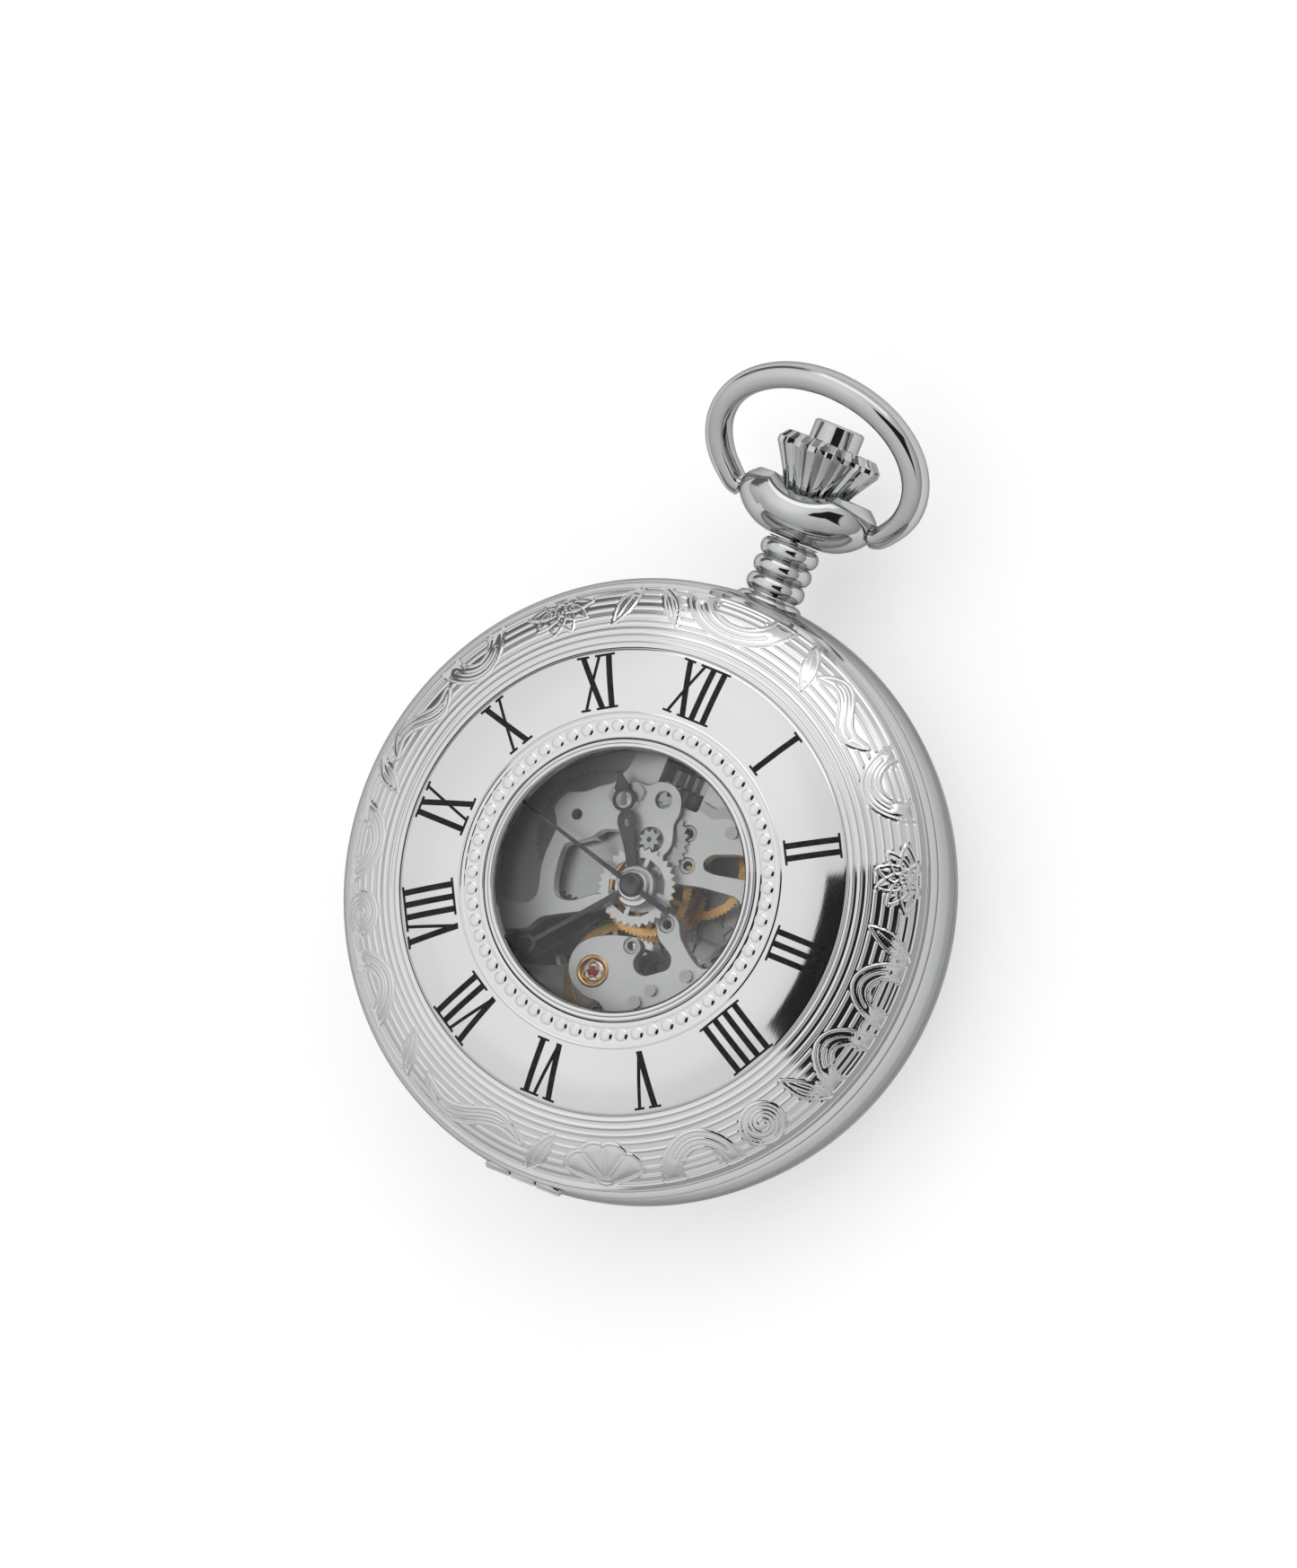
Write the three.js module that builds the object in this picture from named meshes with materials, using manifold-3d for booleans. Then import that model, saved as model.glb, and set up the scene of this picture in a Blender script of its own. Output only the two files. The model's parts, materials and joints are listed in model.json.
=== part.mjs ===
// A half-hunter pocket watch with a skeleton movement, in millimetres.
// The watch lies on its back: +Z goes from the back cover to the dial, +Y to 12 o'clock, +X to 3 o'clock.
// The origin is the centre of the back cover's flat face.
import * as THREE from "three";
import { mergeVertices } from "three/addons/utils/BufferGeometryUtils.js";
import Module from "manifold-3d";

const wasm = await Module();
wasm.setup();

// ---- driving dimensions ----
const CASE_RADIUS = 24;
const ROUND = 40; // facets of the large turned pieces
const HINGE = { y: -23.6, z: 9.1, knuckle: 0.45, pin: 0.2, halfLength: 3.2, gap: 1.15, relief: 0.8 };
const PIVOT_Y = 31.4; // the bow's pivot axis, parallel to X
const STEM_Z = 6.6; // height of the winding stem's axis
const BOW = { halfWidth: 8.4, halfHeight: 6.4, centre: 4.6, wire: 1.1, tilt: 30, pin: 0.5 };
const COLLAR = { bottom: 28.85, ears: 33.2, halfWidth: 5.5, depth: 0.68 };
const CROWN = { base: 33.4, shoulder: 35.9, top: 36.7, baseRadius: 2.5, rimRadius: 4.15, flutes: 18 };
const BUTTON = { radius: 2.0, base: 35.0, top: 38.3, rod: 0.22, rodEnd: 22.6, travel: 0.8 };
const PLATE = { radius: 15, bottom: 8.0, top: 9.2 };
const HAND_ANGLES = { hour: 329, minute: 221, seconds: 284.5 }; // degrees clockwise from 12

// Toothed rings: tooth counts, module and the layer that each fills.
const TOOTH = { centre: 0.11, third: 3.96 / 34, fourth: 0.12, barrel: 0.17, motion: 0.187, winding: 0.1847 };
const ADDENDUM = 0.7; // in modules
const DEDENDUM = 1.0;

const degrees = (angle) => (angle * Math.PI) / 180;
const polar = (radius, angle) => [radius * Math.cos(degrees(angle)), radius * Math.sin(degrees(angle))];

// Places of the movement's arbors in plan.
const TRAIN_REACH = 3.96; // from the centre to the third wheel and to the escape wheel
const BARREL_AT = polar(5.95, 155);
const THIRD_AT = polar(TRAIN_REACH, 45);
const ESCAPE_AT = polar(TRAIN_REACH, -28);
const PALLET_AT = [1.26, -4.27];
const BALANCE_AT = [-1.1, -7.2];
const MINUTE_AT = [-0.5, 3.7];
const SETTING_AT = [-0.62, 7.43];
const CROWN_WHEEL_AT = [0, 6.4];
const CLICK_AT = [-11.6, 5.4];

// ---- materials ----
const metal = (color, roughness) => new THREE.MeshStandardMaterial({ color, roughness, metalness: 1 });
const caseMetal = metal(0xd9dadb, 0.12);
const lidMetal = metal(0xdcddde, 0.15);
const plateMetal = metal(0xb9bbbc, 0.35);
const steel = metal(0xa9abad, 0.25);
const darkSteel = metal(0x3c3e42, 0.3);
const brass = metal(0xd9a45a, 0.3);
const dialSilver = metal(0xe4e4e2, 0.5);
const glass = new THREE.MeshStandardMaterial({
  color: 0xf4f7f8,
  roughness: 0.03,
  metalness: 0,
  transparent: true,
  opacity: 0.2,
});

// ---- solids ----
function solid(geometry) {
  const bare = geometry.index ? geometry.toNonIndexed() : geometry.clone();
  bare.deleteAttribute("normal");
  bare.deleteAttribute("uv");
  const merged = mergeVertices(bare, 1e-4);
  return new wasm.Manifold(
    new wasm.Mesh({
      numProp: 3,
      vertProperties: merged.attributes.position.array,
      triVerts: new Uint32Array(merged.index.array),
    }),
  );
}

function geometryOf(body) {
  const mesh = body.getMesh();
  const geometry = new THREE.BufferGeometry();
  geometry.setAttribute("position", new THREE.BufferAttribute(mesh.vertProperties, 3));
  geometry.setIndex(new THREE.BufferAttribute(mesh.triVerts, 1));
  geometry.computeVertexNormals();
  return geometry;
}

const join = (first, ...others) => others.reduce((sum, next) => sum.add(next), first);
const cut = (body, ...tools) => tools.reduce((rest, tool) => rest.subtract(tool), body);

const vectors = (points) => points.map(([x, y]) => new THREE.Vector2(x, y));
const outline = (points) => new THREE.Shape(vectors(points));

// A flat piece between two heights.
function slab(shape, bottom, top) {
  const settings = { depth: top - bottom, bevelEnabled: false, curveSegments: 8 };
  return solid(new THREE.ExtrudeGeometry(shape, settings).translate(0, 0, bottom));
}

// A round rod along Z.
function rod(radius, bottom, top, x = 0, y = 0, facets = 12) {
  const cylinder = new THREE.CylinderGeometry(radius, radius, top - bottom, facets).rotateX(Math.PI / 2);
  return solid(cylinder.translate(x, y, (bottom + top) / 2));
}

// A round rod along the winding stem's axis.
function stemRod(radius, from, to, facets = 12) {
  const cylinder = new THREE.CylinderGeometry(radius, radius, to - from, facets);
  return solid(cylinder.translate(0, (from + to) / 2, STEM_Z));
}

// A round rod parallel to X through a point of the YZ plane.
function crossRod(radius, from, to, y, z, facets = 12) {
  const cylinder = new THREE.CylinderGeometry(radius, radius, to - from, facets).rotateZ(Math.PI / 2);
  return solid(cylinder.translate((from + to) / 2, y, z));
}

function block([x0, x1], [y0, y1], [z0, z1]) {
  const box = new THREE.BoxGeometry(x1 - x0, y1 - y0, z1 - z0);
  return solid(box.translate((x0 + x1) / 2, (y0 + y1) / 2, (z0 + z1) / 2));
}

// A piece turned about Z. Its profile is [radius, height] points, anticlockwise. A ring's is closed here.
function turned(profile, facets = ROUND) {
  const onAxis = profile[0][0] === 0;
  const points = onAxis ? profile : [...profile, profile[0]];
  return solid(new THREE.LatheGeometry(vectors(points), facets).rotateX(Math.PI / 2));
}

const ring = (inner, outer, bottom, top, facets) =>
  turned([[inner, bottom], [outer, bottom], [outer, top], [inner, top]], facets);

function arc(radius, from, to, steps, [x, y] = [0, 0]) {
  return Array.from({ length: steps + 1 }, (_, i) => {
    const [dx, dy] = polar(radius, from + ((to - from) * i) / steps);
    return [x + dx, y + dy];
  });
}

// A curved strip between two radii and two angles.
const strip = (inner, outer, from, to, steps) =>
  outline([...arc(outer, from, to, steps), ...arc(inner, to, from, steps)]);

// ---- gears ----
const pitchRadius = (gear) => (gear.teeth * gear.module) / 2;

// The angle at which `gear` has a tooth when it meshes with `mate`, whose own phase is known.
function meshPhase(mate, mateAt, gear, gearAt) {
  const line = Math.atan2(gearAt[1] - mateAt[1], gearAt[0] - mateAt[0]);
  const matePitch = (2 * Math.PI) / mate.teeth;
  const pitch = (2 * Math.PI) / gear.teeth;
  const share = (line - mate.phase) / matePitch;
  return line + Math.PI - (0.5 - share) * pitch;
}

function toothedOutline(gear) {
  const pitch = (2 * Math.PI) / gear.teeth;
  const tip = pitchRadius(gear) + ADDENDUM * gear.module;
  const root = pitchRadius(gear) - DEDENDUM * gear.module;
  const points = [];
  for (let i = 0; i < gear.teeth; i++) {
    const angle = gear.phase + i * pitch;
    points.push([tip * Math.cos(angle), tip * Math.sin(angle)]);
    points.push([root * Math.cos(angle + pitch / 2), root * Math.sin(angle + pitch / 2)]);
  }
  return outline(points);
}

// The windows between the arms of a wheel.
function addWindows(shape, outer, inner, arms, armWidth) {
  const outerGap = THREE.MathUtils.radToDeg(Math.asin(armWidth / 2 / outer));
  const innerGap = THREE.MathUtils.radToDeg(Math.asin(armWidth / 2 / inner));
  const step = 360 / arms;
  for (let i = 0; i < arms; i++) {
    const start = i * step;
    const far = arc(outer, start + outerGap, start + step - outerGap, 3);
    const near = arc(inner, start + step - innerGap, start + innerGap, 2);
    shape.holes.push(new THREE.Path(vectors([...far, ...near])));
  }
}

// A crossed-out wheel: a toothed rim on arms.
function wheel(gear, bottom, top, { rim = 0.5, hub = 0.7, arms = 4, armWidth = 0.35 } = {}) {
  const shape = toothedOutline(gear);
  addWindows(shape, pitchRadius(gear) - DEDENDUM * gear.module - rim, hub, arms, armWidth);
  return slab(shape, bottom, top);
}

const pinion = (gear, bottom, top) => slab(toothedOutline(gear), bottom, top);

// ---- tooth phases: each ring takes its phase from the one it meshes with ----
const CENTRE = [0, 0];
const gears = {
  centreWheel: { teeth: 64, module: TOOTH.centre, phase: 0 },
  centrePinion: { teeth: 10, module: TOOTH.barrel, phase: 0 },
  thirdPinion: { teeth: 8, module: TOOTH.centre },
  thirdWheel: { teeth: 60, module: TOOTH.third, phase: 0 },
  fourthPinion: { teeth: 8, module: TOOTH.third },
  fourthWheel: { teeth: 60, module: TOOTH.fourth, phase: 0 },
  escapePinion: { teeth: 6, module: TOOTH.fourth },
  barrel: { teeth: 60, module: TOOTH.barrel },
  cannonPinion: { teeth: 10, module: TOOTH.motion, phase: 0 },
  minuteWheel: { teeth: 30, module: TOOTH.motion },
  minutePinion: { teeth: 8, module: TOOTH.motion, phase: 0 },
  hourWheel: { teeth: 32, module: TOOTH.motion },
  settingWheel: { teeth: 10, module: TOOTH.motion },
  crownWheel: { teeth: 24, module: TOOTH.winding, phase: 0 },
  ratchet: { teeth: 48, module: TOOTH.winding },
};
gears.thirdPinion.phase = meshPhase(gears.centreWheel, CENTRE, gears.thirdPinion, THIRD_AT);
gears.fourthPinion.phase = meshPhase(gears.thirdWheel, THIRD_AT, gears.fourthPinion, CENTRE);
gears.escapePinion.phase = meshPhase(gears.fourthWheel, CENTRE, gears.escapePinion, ESCAPE_AT);
gears.barrel.phase = meshPhase(gears.centrePinion, CENTRE, gears.barrel, BARREL_AT);
gears.minuteWheel.phase = meshPhase(gears.cannonPinion, CENTRE, gears.minuteWheel, MINUTE_AT);
gears.hourWheel.phase = meshPhase(gears.minutePinion, MINUTE_AT, gears.hourWheel, CENTRE);
gears.settingWheel.phase = meshPhase(gears.minuteWheel, MINUTE_AT, gears.settingWheel, SETTING_AT);
gears.ratchet.phase = meshPhase(gears.crownWheel, CROWN_WHEEL_AT, gears.ratchet, BARREL_AT);

// ---- the scene graph ----
const watch = new THREE.Group();
const caseGroup = new THREE.Group();
const pendant = new THREE.Group();
const movement = new THREE.Group();
watch.add(caseGroup, pendant, movement);

function piece(group, name, body, material, [x, y] = [0, 0]) {
  const mesh = new THREE.Mesh(geometryOf(body), material);
  mesh.name = name;
  mesh.position.set(x, y, 0);
  group.add(mesh);
  return mesh;
}

// ---- case ----
const BAND = { bottom: 4.15, top: 9.0, inner: 21.2 };
const BEZEL_SLOT = 1.8; // half width of the gap that the lock spring's catch moves in

const hingeRelief = () =>
  crossRod(HINGE.relief, -HINGE.halfLength - 0.3, HINGE.halfLength + 0.3, HINGE.y, HINGE.z, 16);
const pinBore = (from, to) => crossRod(HINGE.pin + 0.06, from, to, HINGE.y, HINGE.z);

// One knuckle of the lid's hinge, with the web that ties it to its shell.
function knuckle(from, to, webHeights) {
  const web = block([from, to], [HINGE.y - 0.1, HINGE.y + 1.1], webHeights);
  const barrel = crossRod(HINGE.knuckle, from, to, HINGE.y, HINGE.z, 16);
  return cut(join(barrel, web), pinBore(from - 0.1, to + 0.1));
}

function caseMiddle() {
  const shell = turned([
    [BAND.inner, BAND.bottom],
    [23.6, BAND.bottom],
    [23.85, 5.0],
    [CASE_RADIUS, 6.0],
    [CASE_RADIUS, 7.4],
    [23.85, 8.4],
    [23.6, BAND.top],
    [BAND.inner, BAND.top],
  ]);
  const hollow = cut(
    shell,
    hingeRelief(),
    stemRod(1.3, 20, 25),
    block([-1.25, 1.25], [20.5, 22.85], [7.0, 9.5]),
  );
  const low = [HINGE.z - 1.2, HINGE.z - 0.3];
  const left = knuckle(-HINGE.halfLength, -HINGE.gap, low);
  const right = knuckle(HINGE.gap, HINGE.halfLength, low);
  return join(hollow, left, right);
}

function frontCover() {
  const shell = turned([
    [23.0, 9.15],
    [23.75, 9.15],
    [23.8, 9.75],
    [23.2, 10.9],
    [21.5, 12.2],
    [18.4, 13.4],
    [10.9, 14.45],
    [10.9, 13.75],
    [18.2, 12.7],
    [20.9, 11.65],
    [22.5, 10.4],
  ]);
  const tongue = knuckle(0.15 - HINGE.gap, HINGE.gap - 0.15, [HINGE.z + 0.1, HINGE.z + 1.1]);
  return join(cut(shell, hingeRelief()), tongue);
}

piece(caseGroup, "case_middle", caseMiddle(), caseMetal);
piece(
  caseGroup,
  "back_cover",
  turned([
    [0, 0],
    [16, 0],
    [20.2, 0.55],
    [22.6, 1.9],
    [23.6, 4.05],
    [22.9, 4.05],
    [21.9, 2.5],
    [19.8, 1.3],
    [16, 0.75],
    [0, 0.75],
  ]),
  caseMetal,
);
piece(caseGroup, "front_cover", frontCover(), lidMetal);
piece(
  caseGroup,
  "window_bezel",
  turned([[10.0, 13.6], [10.8, 13.6], [10.8, 14.5], [10.4, 14.7], [10.0, 14.45]], 32),
  lidMetal,
);
piece(
  caseGroup,
  "window_glass",
  turned([[0, 13.75], [9.9, 13.65], [9.9, 14.3], [0, 14.5]], 32),
  glass,
);
piece(
  caseGroup,
  "hinge_pin",
  crossRod(HINGE.pin, -HINGE.halfLength + 0.02, HINGE.halfLength - 0.02, HINGE.y, HINGE.z),
  steel,
);

function innerBezel() {
  const body = turned([
    [20.0, 9.1],
    [22.4, 9.1],
    [22.3, 10.0],
    [21.1, 11.15],
    [20.55, 11.15],
    [20.55, 10.0],
    [20.0, 10.0],
  ]);
  return cut(body, block([-BEZEL_SLOT, BEZEL_SLOT], [21.0, 23], [9, 12]));
}
piece(caseGroup, "inner_bezel", innerBezel(), caseMetal);
piece(
  caseGroup,
  "crystal",
  turned(
    [
      [0, 12.1],
      [10, 11.9],
      [16, 11.3],
      [20.45, 10.1],
      [20.45, 10.8],
      [16, 12.05],
      [10, 12.65],
      [0, 12.85],
    ],
    32,
  ),
  glass,
);
piece(caseGroup, "dial_ring", ring(12.3, 19.7, 9.75, 9.95), dialSilver);
piece(
  caseGroup,
  "movement_ring",
  cut(ring(15.3, 19.0, 6.2, 9.1), stemRod(1.0, 14, 20)),
  steel,
);

// The lock spring lies along the band and carries the catch that holds the lid; the lift spring opens it.
function lockSpring() {
  const leaf = slab(strip(20.35, 20.85, 50, 93, 8), 7.9, 8.9);
  const arm = block([-0.9, 1.0], [20.5, 22.2], [8.2, 8.6]);
  const catchPost = block([-0.9, 1.0], [21.8, 22.4], [6.0, 9.9]);
  const stemSlot = block([0, 0.8], [20, 23], [STEM_Z - 0.46, STEM_Z + 0.46]);
  return cut(join(leaf, arm, catchPost), stemRod(0.5, 20, 25, 8), stemSlot);
}
piece(caseGroup, "lock_spring", lockSpring(), steel);
piece(
  caseGroup,
  "lift_spring",
  join(slab(strip(20.35, 20.85, 205, 268, 10), 7.9, 8.9), block([-1.2, -0.2], [-21.1, -20.4], [7.9, 9.0])),
  steel,
);

// ---- pendant ----
function neck() {
  const rings = 3;
  const pitch = 1.42;
  const start = 24.35;
  const profile = [[0, 22.9], [2.6, 22.9], [2.5, 24.1], [1.8, start]];
  for (let i = 0; i < rings; i++) {
    const y = start + i * pitch;
    profile.push([2.2, y + 0.38], [2.3, y + pitch / 2], [2.2, y + pitch - 0.38], [1.8, y + pitch]);
  }
  profile.push([1.8, COLLAR.bottom - 0.1], [0, COLLAR.bottom - 0.1]);
  const body = solid(new THREE.LatheGeometry(vectors(profile), 16).translate(0, 0, STEM_Z));
  const caseInside = solid(new THREE.CylinderGeometry(CASE_RADIUS + 0.05, CASE_RADIUS + 0.05, 20, 80)
    .rotateX(Math.PI / 2)
    .translate(0, 0, 6));
  return cut(body, stemRod(0.95, 20, 30), caseInside);
}

function collar() {
  const profile = [
    [0, COLLAR.bottom],
    [2.3, COLLAR.bottom],
    [3.9, 29.4],
    [5.2, 30.4],
    [5.75, 31.5],
    [5.55, 32.4],
    [4.8, COLLAR.ears],
    [0, COLLAR.ears],
  ];
  const bulb = solid(
    new THREE.LatheGeometry(vectors(profile), 24).scale(1, 1, COLLAR.depth).translate(0, 0, STEM_Z),
  );
  const saddle = solid(new THREE.CylinderGeometry(4.4, 4.4, 12, 20)
    .rotateX(Math.PI / 2)
    .translate(0, 36.6, STEM_Z));
  const flat = COLLAR.halfWidth;
  return cut(
    bulb,
    stemRod(0.95, 28, 34),
    stemRod(3.6, 31.7, 34, 16),
    saddle,
    block([flat, 7], [28, 35], [0, 14]),
    block([-7, -flat], [28, 35], [0, 14]),
    crossRod(BOW.pin + 0.1, flat - 1.2, 7, PIVOT_Y, STEM_Z),
    crossRod(BOW.pin + 0.1, -7, -flat + 1.2, PIVOT_Y, STEM_Z),
  );
}

// The bow's centre line in its own plane: x across, y away from the pivot axis.
function bowCurve() {
  const half = [[COLLAR.halfWidth + 0.35, 0], [6.9, 0.3]];
  for (let angle = -28; angle < 90; angle += 19.66) {
    const t = degrees(angle);
    half.push([BOW.halfWidth * Math.cos(t), BOW.centre + BOW.halfHeight * Math.sin(t)]);
  }
  const mirrored = half.slice(0, -1).reverse().map(([x, y]) => [-x, y]);
  const points = [...half, ...mirrored].map(([x, y]) => new THREE.Vector3(x, y, 0));
  return new THREE.CatmullRomCurve3(points);
}

function bow() {
  const section = outline(arc(BOW.wire, 0, 315, 7));
  const wire = solid(
    new THREE.ExtrudeGeometry(section, { steps: 34, bevelEnabled: false, extrudePath: bowCurve() }),
  );
  const pins = [1, -1].map((side) => {
    const [from, to] = side > 0 ? [4.4, 6.0] : [-6.0, -4.4];
    return crossRod(BOW.pin, from, to, 0, 0);
  });
  return join(wire, ...pins);
}

// The crown's fluted flank is a cone cut by shallow grooves.
function crown() {
  const points = [
    [0, CROWN.base],
    [CROWN.baseRadius, CROWN.base],
    [CROWN.rimRadius, CROWN.shoulder - 0.5],
    [CROWN.rimRadius, CROWN.shoulder],
    [CROWN.rimRadius - 0.5, CROWN.top],
    [0, CROWN.top],
  ];
  const cone = new THREE.LatheGeometry(vectors(points), CROWN.flutes * 2);
  const position = cone.getAttribute("position");
  for (let i = 0; i < position.count; i++) {
    const x = position.getX(i);
    const z = position.getZ(i);
    const turn = Math.round((Math.atan2(x, z) / Math.PI) * CROWN.flutes);
    const depth = Math.abs(turn) % 2 === 1 ? 0.93 : 1;
    position.setX(i, x * depth);
    position.setZ(i, z * depth);
  }
  const buttonWell = stemRod(BUTTON.radius + 0.1, BUTTON.base - BUTTON.travel - 0.2, CROWN.top + 1, 20);
  const rodHole = stemRod(BUTTON.rod + 0.08, CROWN.base - 1, CROWN.top, 8);
  return cut(solid(cone.translate(0, 0, STEM_Z)), buttonWell, rodHole);
}

function pushButton() {
  const { radius, base, top } = BUTTON;
  const profile = [[0, base], [radius, base], [radius, top - 0.2], [radius - 0.2, top], [0, top]];
  return solid(new THREE.LatheGeometry(vectors(profile), 20).translate(0, 0, STEM_Z));
}

piece(pendant, "pendant_neck", neck(), caseMetal);
piece(pendant, "bow_collar", collar(), caseMetal);
const bowMesh = piece(pendant, "bow", bow(), caseMetal);
bowMesh.position.set(0, PIVOT_Y, STEM_Z);
bowMesh.rotation.x = degrees(BOW.tilt);
piece(pendant, "crown", crown(), caseMetal);
piece(pendant, "push_button", pushButton(), caseMetal);
piece(pendant, "push_rod", stemRod(BUTTON.rod, BUTTON.rodEnd, BUTTON.base, 8), steel);

// ---- frame of the movement ----
const BRIDGE = {
  barrel: [5.1, 5.7],
  train: [2.55, 3.05],
  pallet: [2.65, 3.0],
  balance: [1.1, 1.8],
  setting: [9.68, 9.88],
};
const PILLAR_TOP = PLATE.bottom - 0.05;
const pillar = (from, x, y, radius = 0.9) => rod(radius, from, PILLAR_TOP, x, y);

function mainPlate() {
  const through = ([x, y], radius) => rod(radius, PLATE.bottom - 1, PLATE.top + 1, x, y);
  const opening = (points) => slab(outline(points), PLATE.bottom - 1, PLATE.top + 1);
  const crescent = opening([
    ...arc(12, 158, 258, 10),
    [-1.9, -10.1],
    [-3.2, -8.4],
    [-3.4, -6.1],
    [-4.7, -6.3],
    [-6.9, -5.6],
    [-8.3, -3.7],
    [-8.0, 0],
    [-8.4, 2.2],
    [-9.1, 4.3],
  ]);
  const barrelWindow = opening([[-6.8, 2.0], [-6.4, -1.5], [-5.7, -3.2], [-3.2, -3.4], [-3.2, 2.6]]);
  const centreWindow = opening([...arc(4.1, 125, 312, 14), ...arc(1.6, 312, 125, 6)]);
  const lowWindow = opening([[1.9, -3.5], [3.7, -3.3], [4.6, -4.4], [3.4, -6.0], [2.0, -5.4]]);
  const rightWindow = opening([
    [3.6, 1.7],
    [8.2, 2.1],
    [9.6, -0.5],
    [8.2, -3.6],
    [5.8, -3.6],
    [4.9, -2.2],
    [3.6, -0.6],
  ]);
  const slot = opening([[4.6, 3.8], [5.4, 4.5], [8.2, 4.9], [8.3, 3.9], [5.2, 3.1]]);
  const windingWindow = opening([[-1.9, 6.95], [1.9, 6.95], [1.9, 10.3], [-1.9, 10.3]]);
  return cut(
    rod(PLATE.radius, PLATE.bottom, PLATE.top, 0, 0, 36),
    crescent,
    barrelWindow,
    centreWindow,
    lowWindow,
    rightWindow,
    slot,
    windingWindow,
    through(CENTRE, 0.62),
    through(THIRD_AT, 0.26),
    through(ESCAPE_AT, 0.26),
    through(PALLET_AT, 0.24),
    through(BALANCE_AT, 1.0),
    through(BARREL_AT, 0.5),
    through([-7.06, 3.4], 0.4),
  );
}
piece(movement, "main_plate", mainPlate(), plateMetal);

function barrelBridge() {
  const [bottom, top] = BRIDGE.barrel;
  const edge = arc(14.5, 84, 218, 12);
  const body = slab(outline([...edge, [-7, -3.5], [-2.2, -1.6], [-1.4, 2.6], [0.9, 5.9]]), bottom, top);
  const feet = [[-12.3, 6.2], [-3.6, 12.6], [-10.2, -5.6]].map(([x, y]) => pillar(top - 0.1, x, y));
  const notch = block([-1.9, 1.9], [7.6, 10.3], [4, 7]);
  return cut(
    join(body, ...feet),
    notch,
    rod(0.75, 4, 7, ...BARREL_AT),
    rod(0.34, 4, 7, ...CROWN_WHEEL_AT),
  );
}
piece(movement, "barrel_bridge", barrelBridge(), plateMetal);

function trainBridge() {
  const [bottom, top] = BRIDGE.train;
  const edge = arc(14.3, -28, 52, 8);
  const inward = [[2.6, 4.6], [-0.9, 0.9], [-0.9, -0.9], [2.9, -2.9], [6, -4]];
  const body = slab(outline([...edge, ...inward]), bottom, top);
  const feet = [[11.6, -3.6], [9.0, 9.4], [12.6, 3.0]].map(([x, y]) => pillar(top - 0.1, x, y));
  const holes = [CENTRE, THIRD_AT, ESCAPE_AT].map(([x, y]) => rod(0.26, 2, 4, x, y));
  return cut(join(body, ...feet), ...holes);
}
piece(movement, "train_bridge", trainBridge(), plateMetal);

function balanceCock() {
  const [bottom, top] = BRIDGE.balance;
  const foot = [-8.6, -10.2];
  const tail = [[-7.9, -8.4], [-10.4, -8.9], [-9.4, -11.6], [-7.4, -11.9]];
  const body = slab(outline([...arc(1.6, -60, 100, 6, BALANCE_AT), ...tail]), bottom, top);
  return cut(join(body, pillar(top - 0.1, ...foot, 1.0)), rod(0.3, 0.9, 2, ...BALANCE_AT));
}
piece(movement, "balance_cock", balanceCock(), plateMetal);

function palletCock() {
  const [bottom, top] = BRIDGE.pallet;
  const body = slab(outline([[0.7, -3.8], [1.9, -3.8], [7.4, -7.4], [6.4, -8.7], [0.7, -4.8]]), bottom, top);
  return cut(join(body, pillar(top - 0.1, 6.3, -7.6, 0.7)), rod(0.22, 2, 4, ...PALLET_AT));
}
piece(movement, "pallet_cock", palletCock(), plateMetal);

function settingBridge() {
  const [bottom, top] = BRIDGE.setting;
  const shape = outline([
    [-3.9, 6.9],
    [-3.3, 7.6],
    [-1.9, 7.3],
    [-1.6, 8.3],
    [0.3, 8.4],
    [0.8, 6.7],
    [1.4, 5.2],
    ...arc(1.75, 10, -190, 10, MINUTE_AT),
    [-1.9, 5.6],
    [-2.6, 5.7],
  ]);
  return cut(
    slab(shape, bottom, top),
    rod(0.98, 9, 10.5, ...MINUTE_AT),
    rod(0.3, 9, 10.5, ...SETTING_AT),
    rod(0.42, 9, 10.5, -3.0, 6.6),
  );
}
piece(movement, "setting_bridge", settingBridge(), plateMetal);

// A slotted screw head on its shank.
function screw(head, bottom, top, shankBottom) {
  const body = join(rod(head, bottom, top), rod(head * 0.5, shankBottom, bottom + 0.02, 0, 0, 6));
  return cut(body, block([-head - 0.1, head + 0.1], [-head * 0.13, head * 0.13], [top - 0.12, top + 0.1]));
}
const PLATE_SCREWS = [
  ["plate_screw_1", [6.1, -4.9], 0.5],
  ["plate_screw_2", [3.9, -6.9], 0.45],
  ["plate_screw_3", [3.05, -8.2], 0.5],
  ["plate_screw_4", [5.2, 6.5], 0.5],
  ["keyless_screw", [-4.4, 5.95], 0.8],
];
for (const [name, at, head] of PLATE_SCREWS) {
  piece(movement, name, screw(head, PLATE.top + 0.05, PLATE.top + 0.4, PLATE.top + 0.03), steel, at);
}
piece(movement, "setting_bridge_screw", screw(0.72, 9.93, 10.2, 9.3), steel, [-3.0, 6.6]);
piece(movement, "case_screw_1", screw(0.85, 9.25, 9.6, 9.22), steel, polar(15.0, 100));
piece(movement, "case_screw_2", screw(0.85, 9.25, 9.6, 9.22), steel, polar(15.0, 280));
piece(
  movement,
  "shock_setting",
  cut(join(rod(0.9, 8.75, 9.3), rod(1.25, 9.25, 9.45, 0, 0, 16)), rod(0.5, 9.1, 9.6, 0, 0, 8)),
  brass,
  BALANCE_AT,
);

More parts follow.
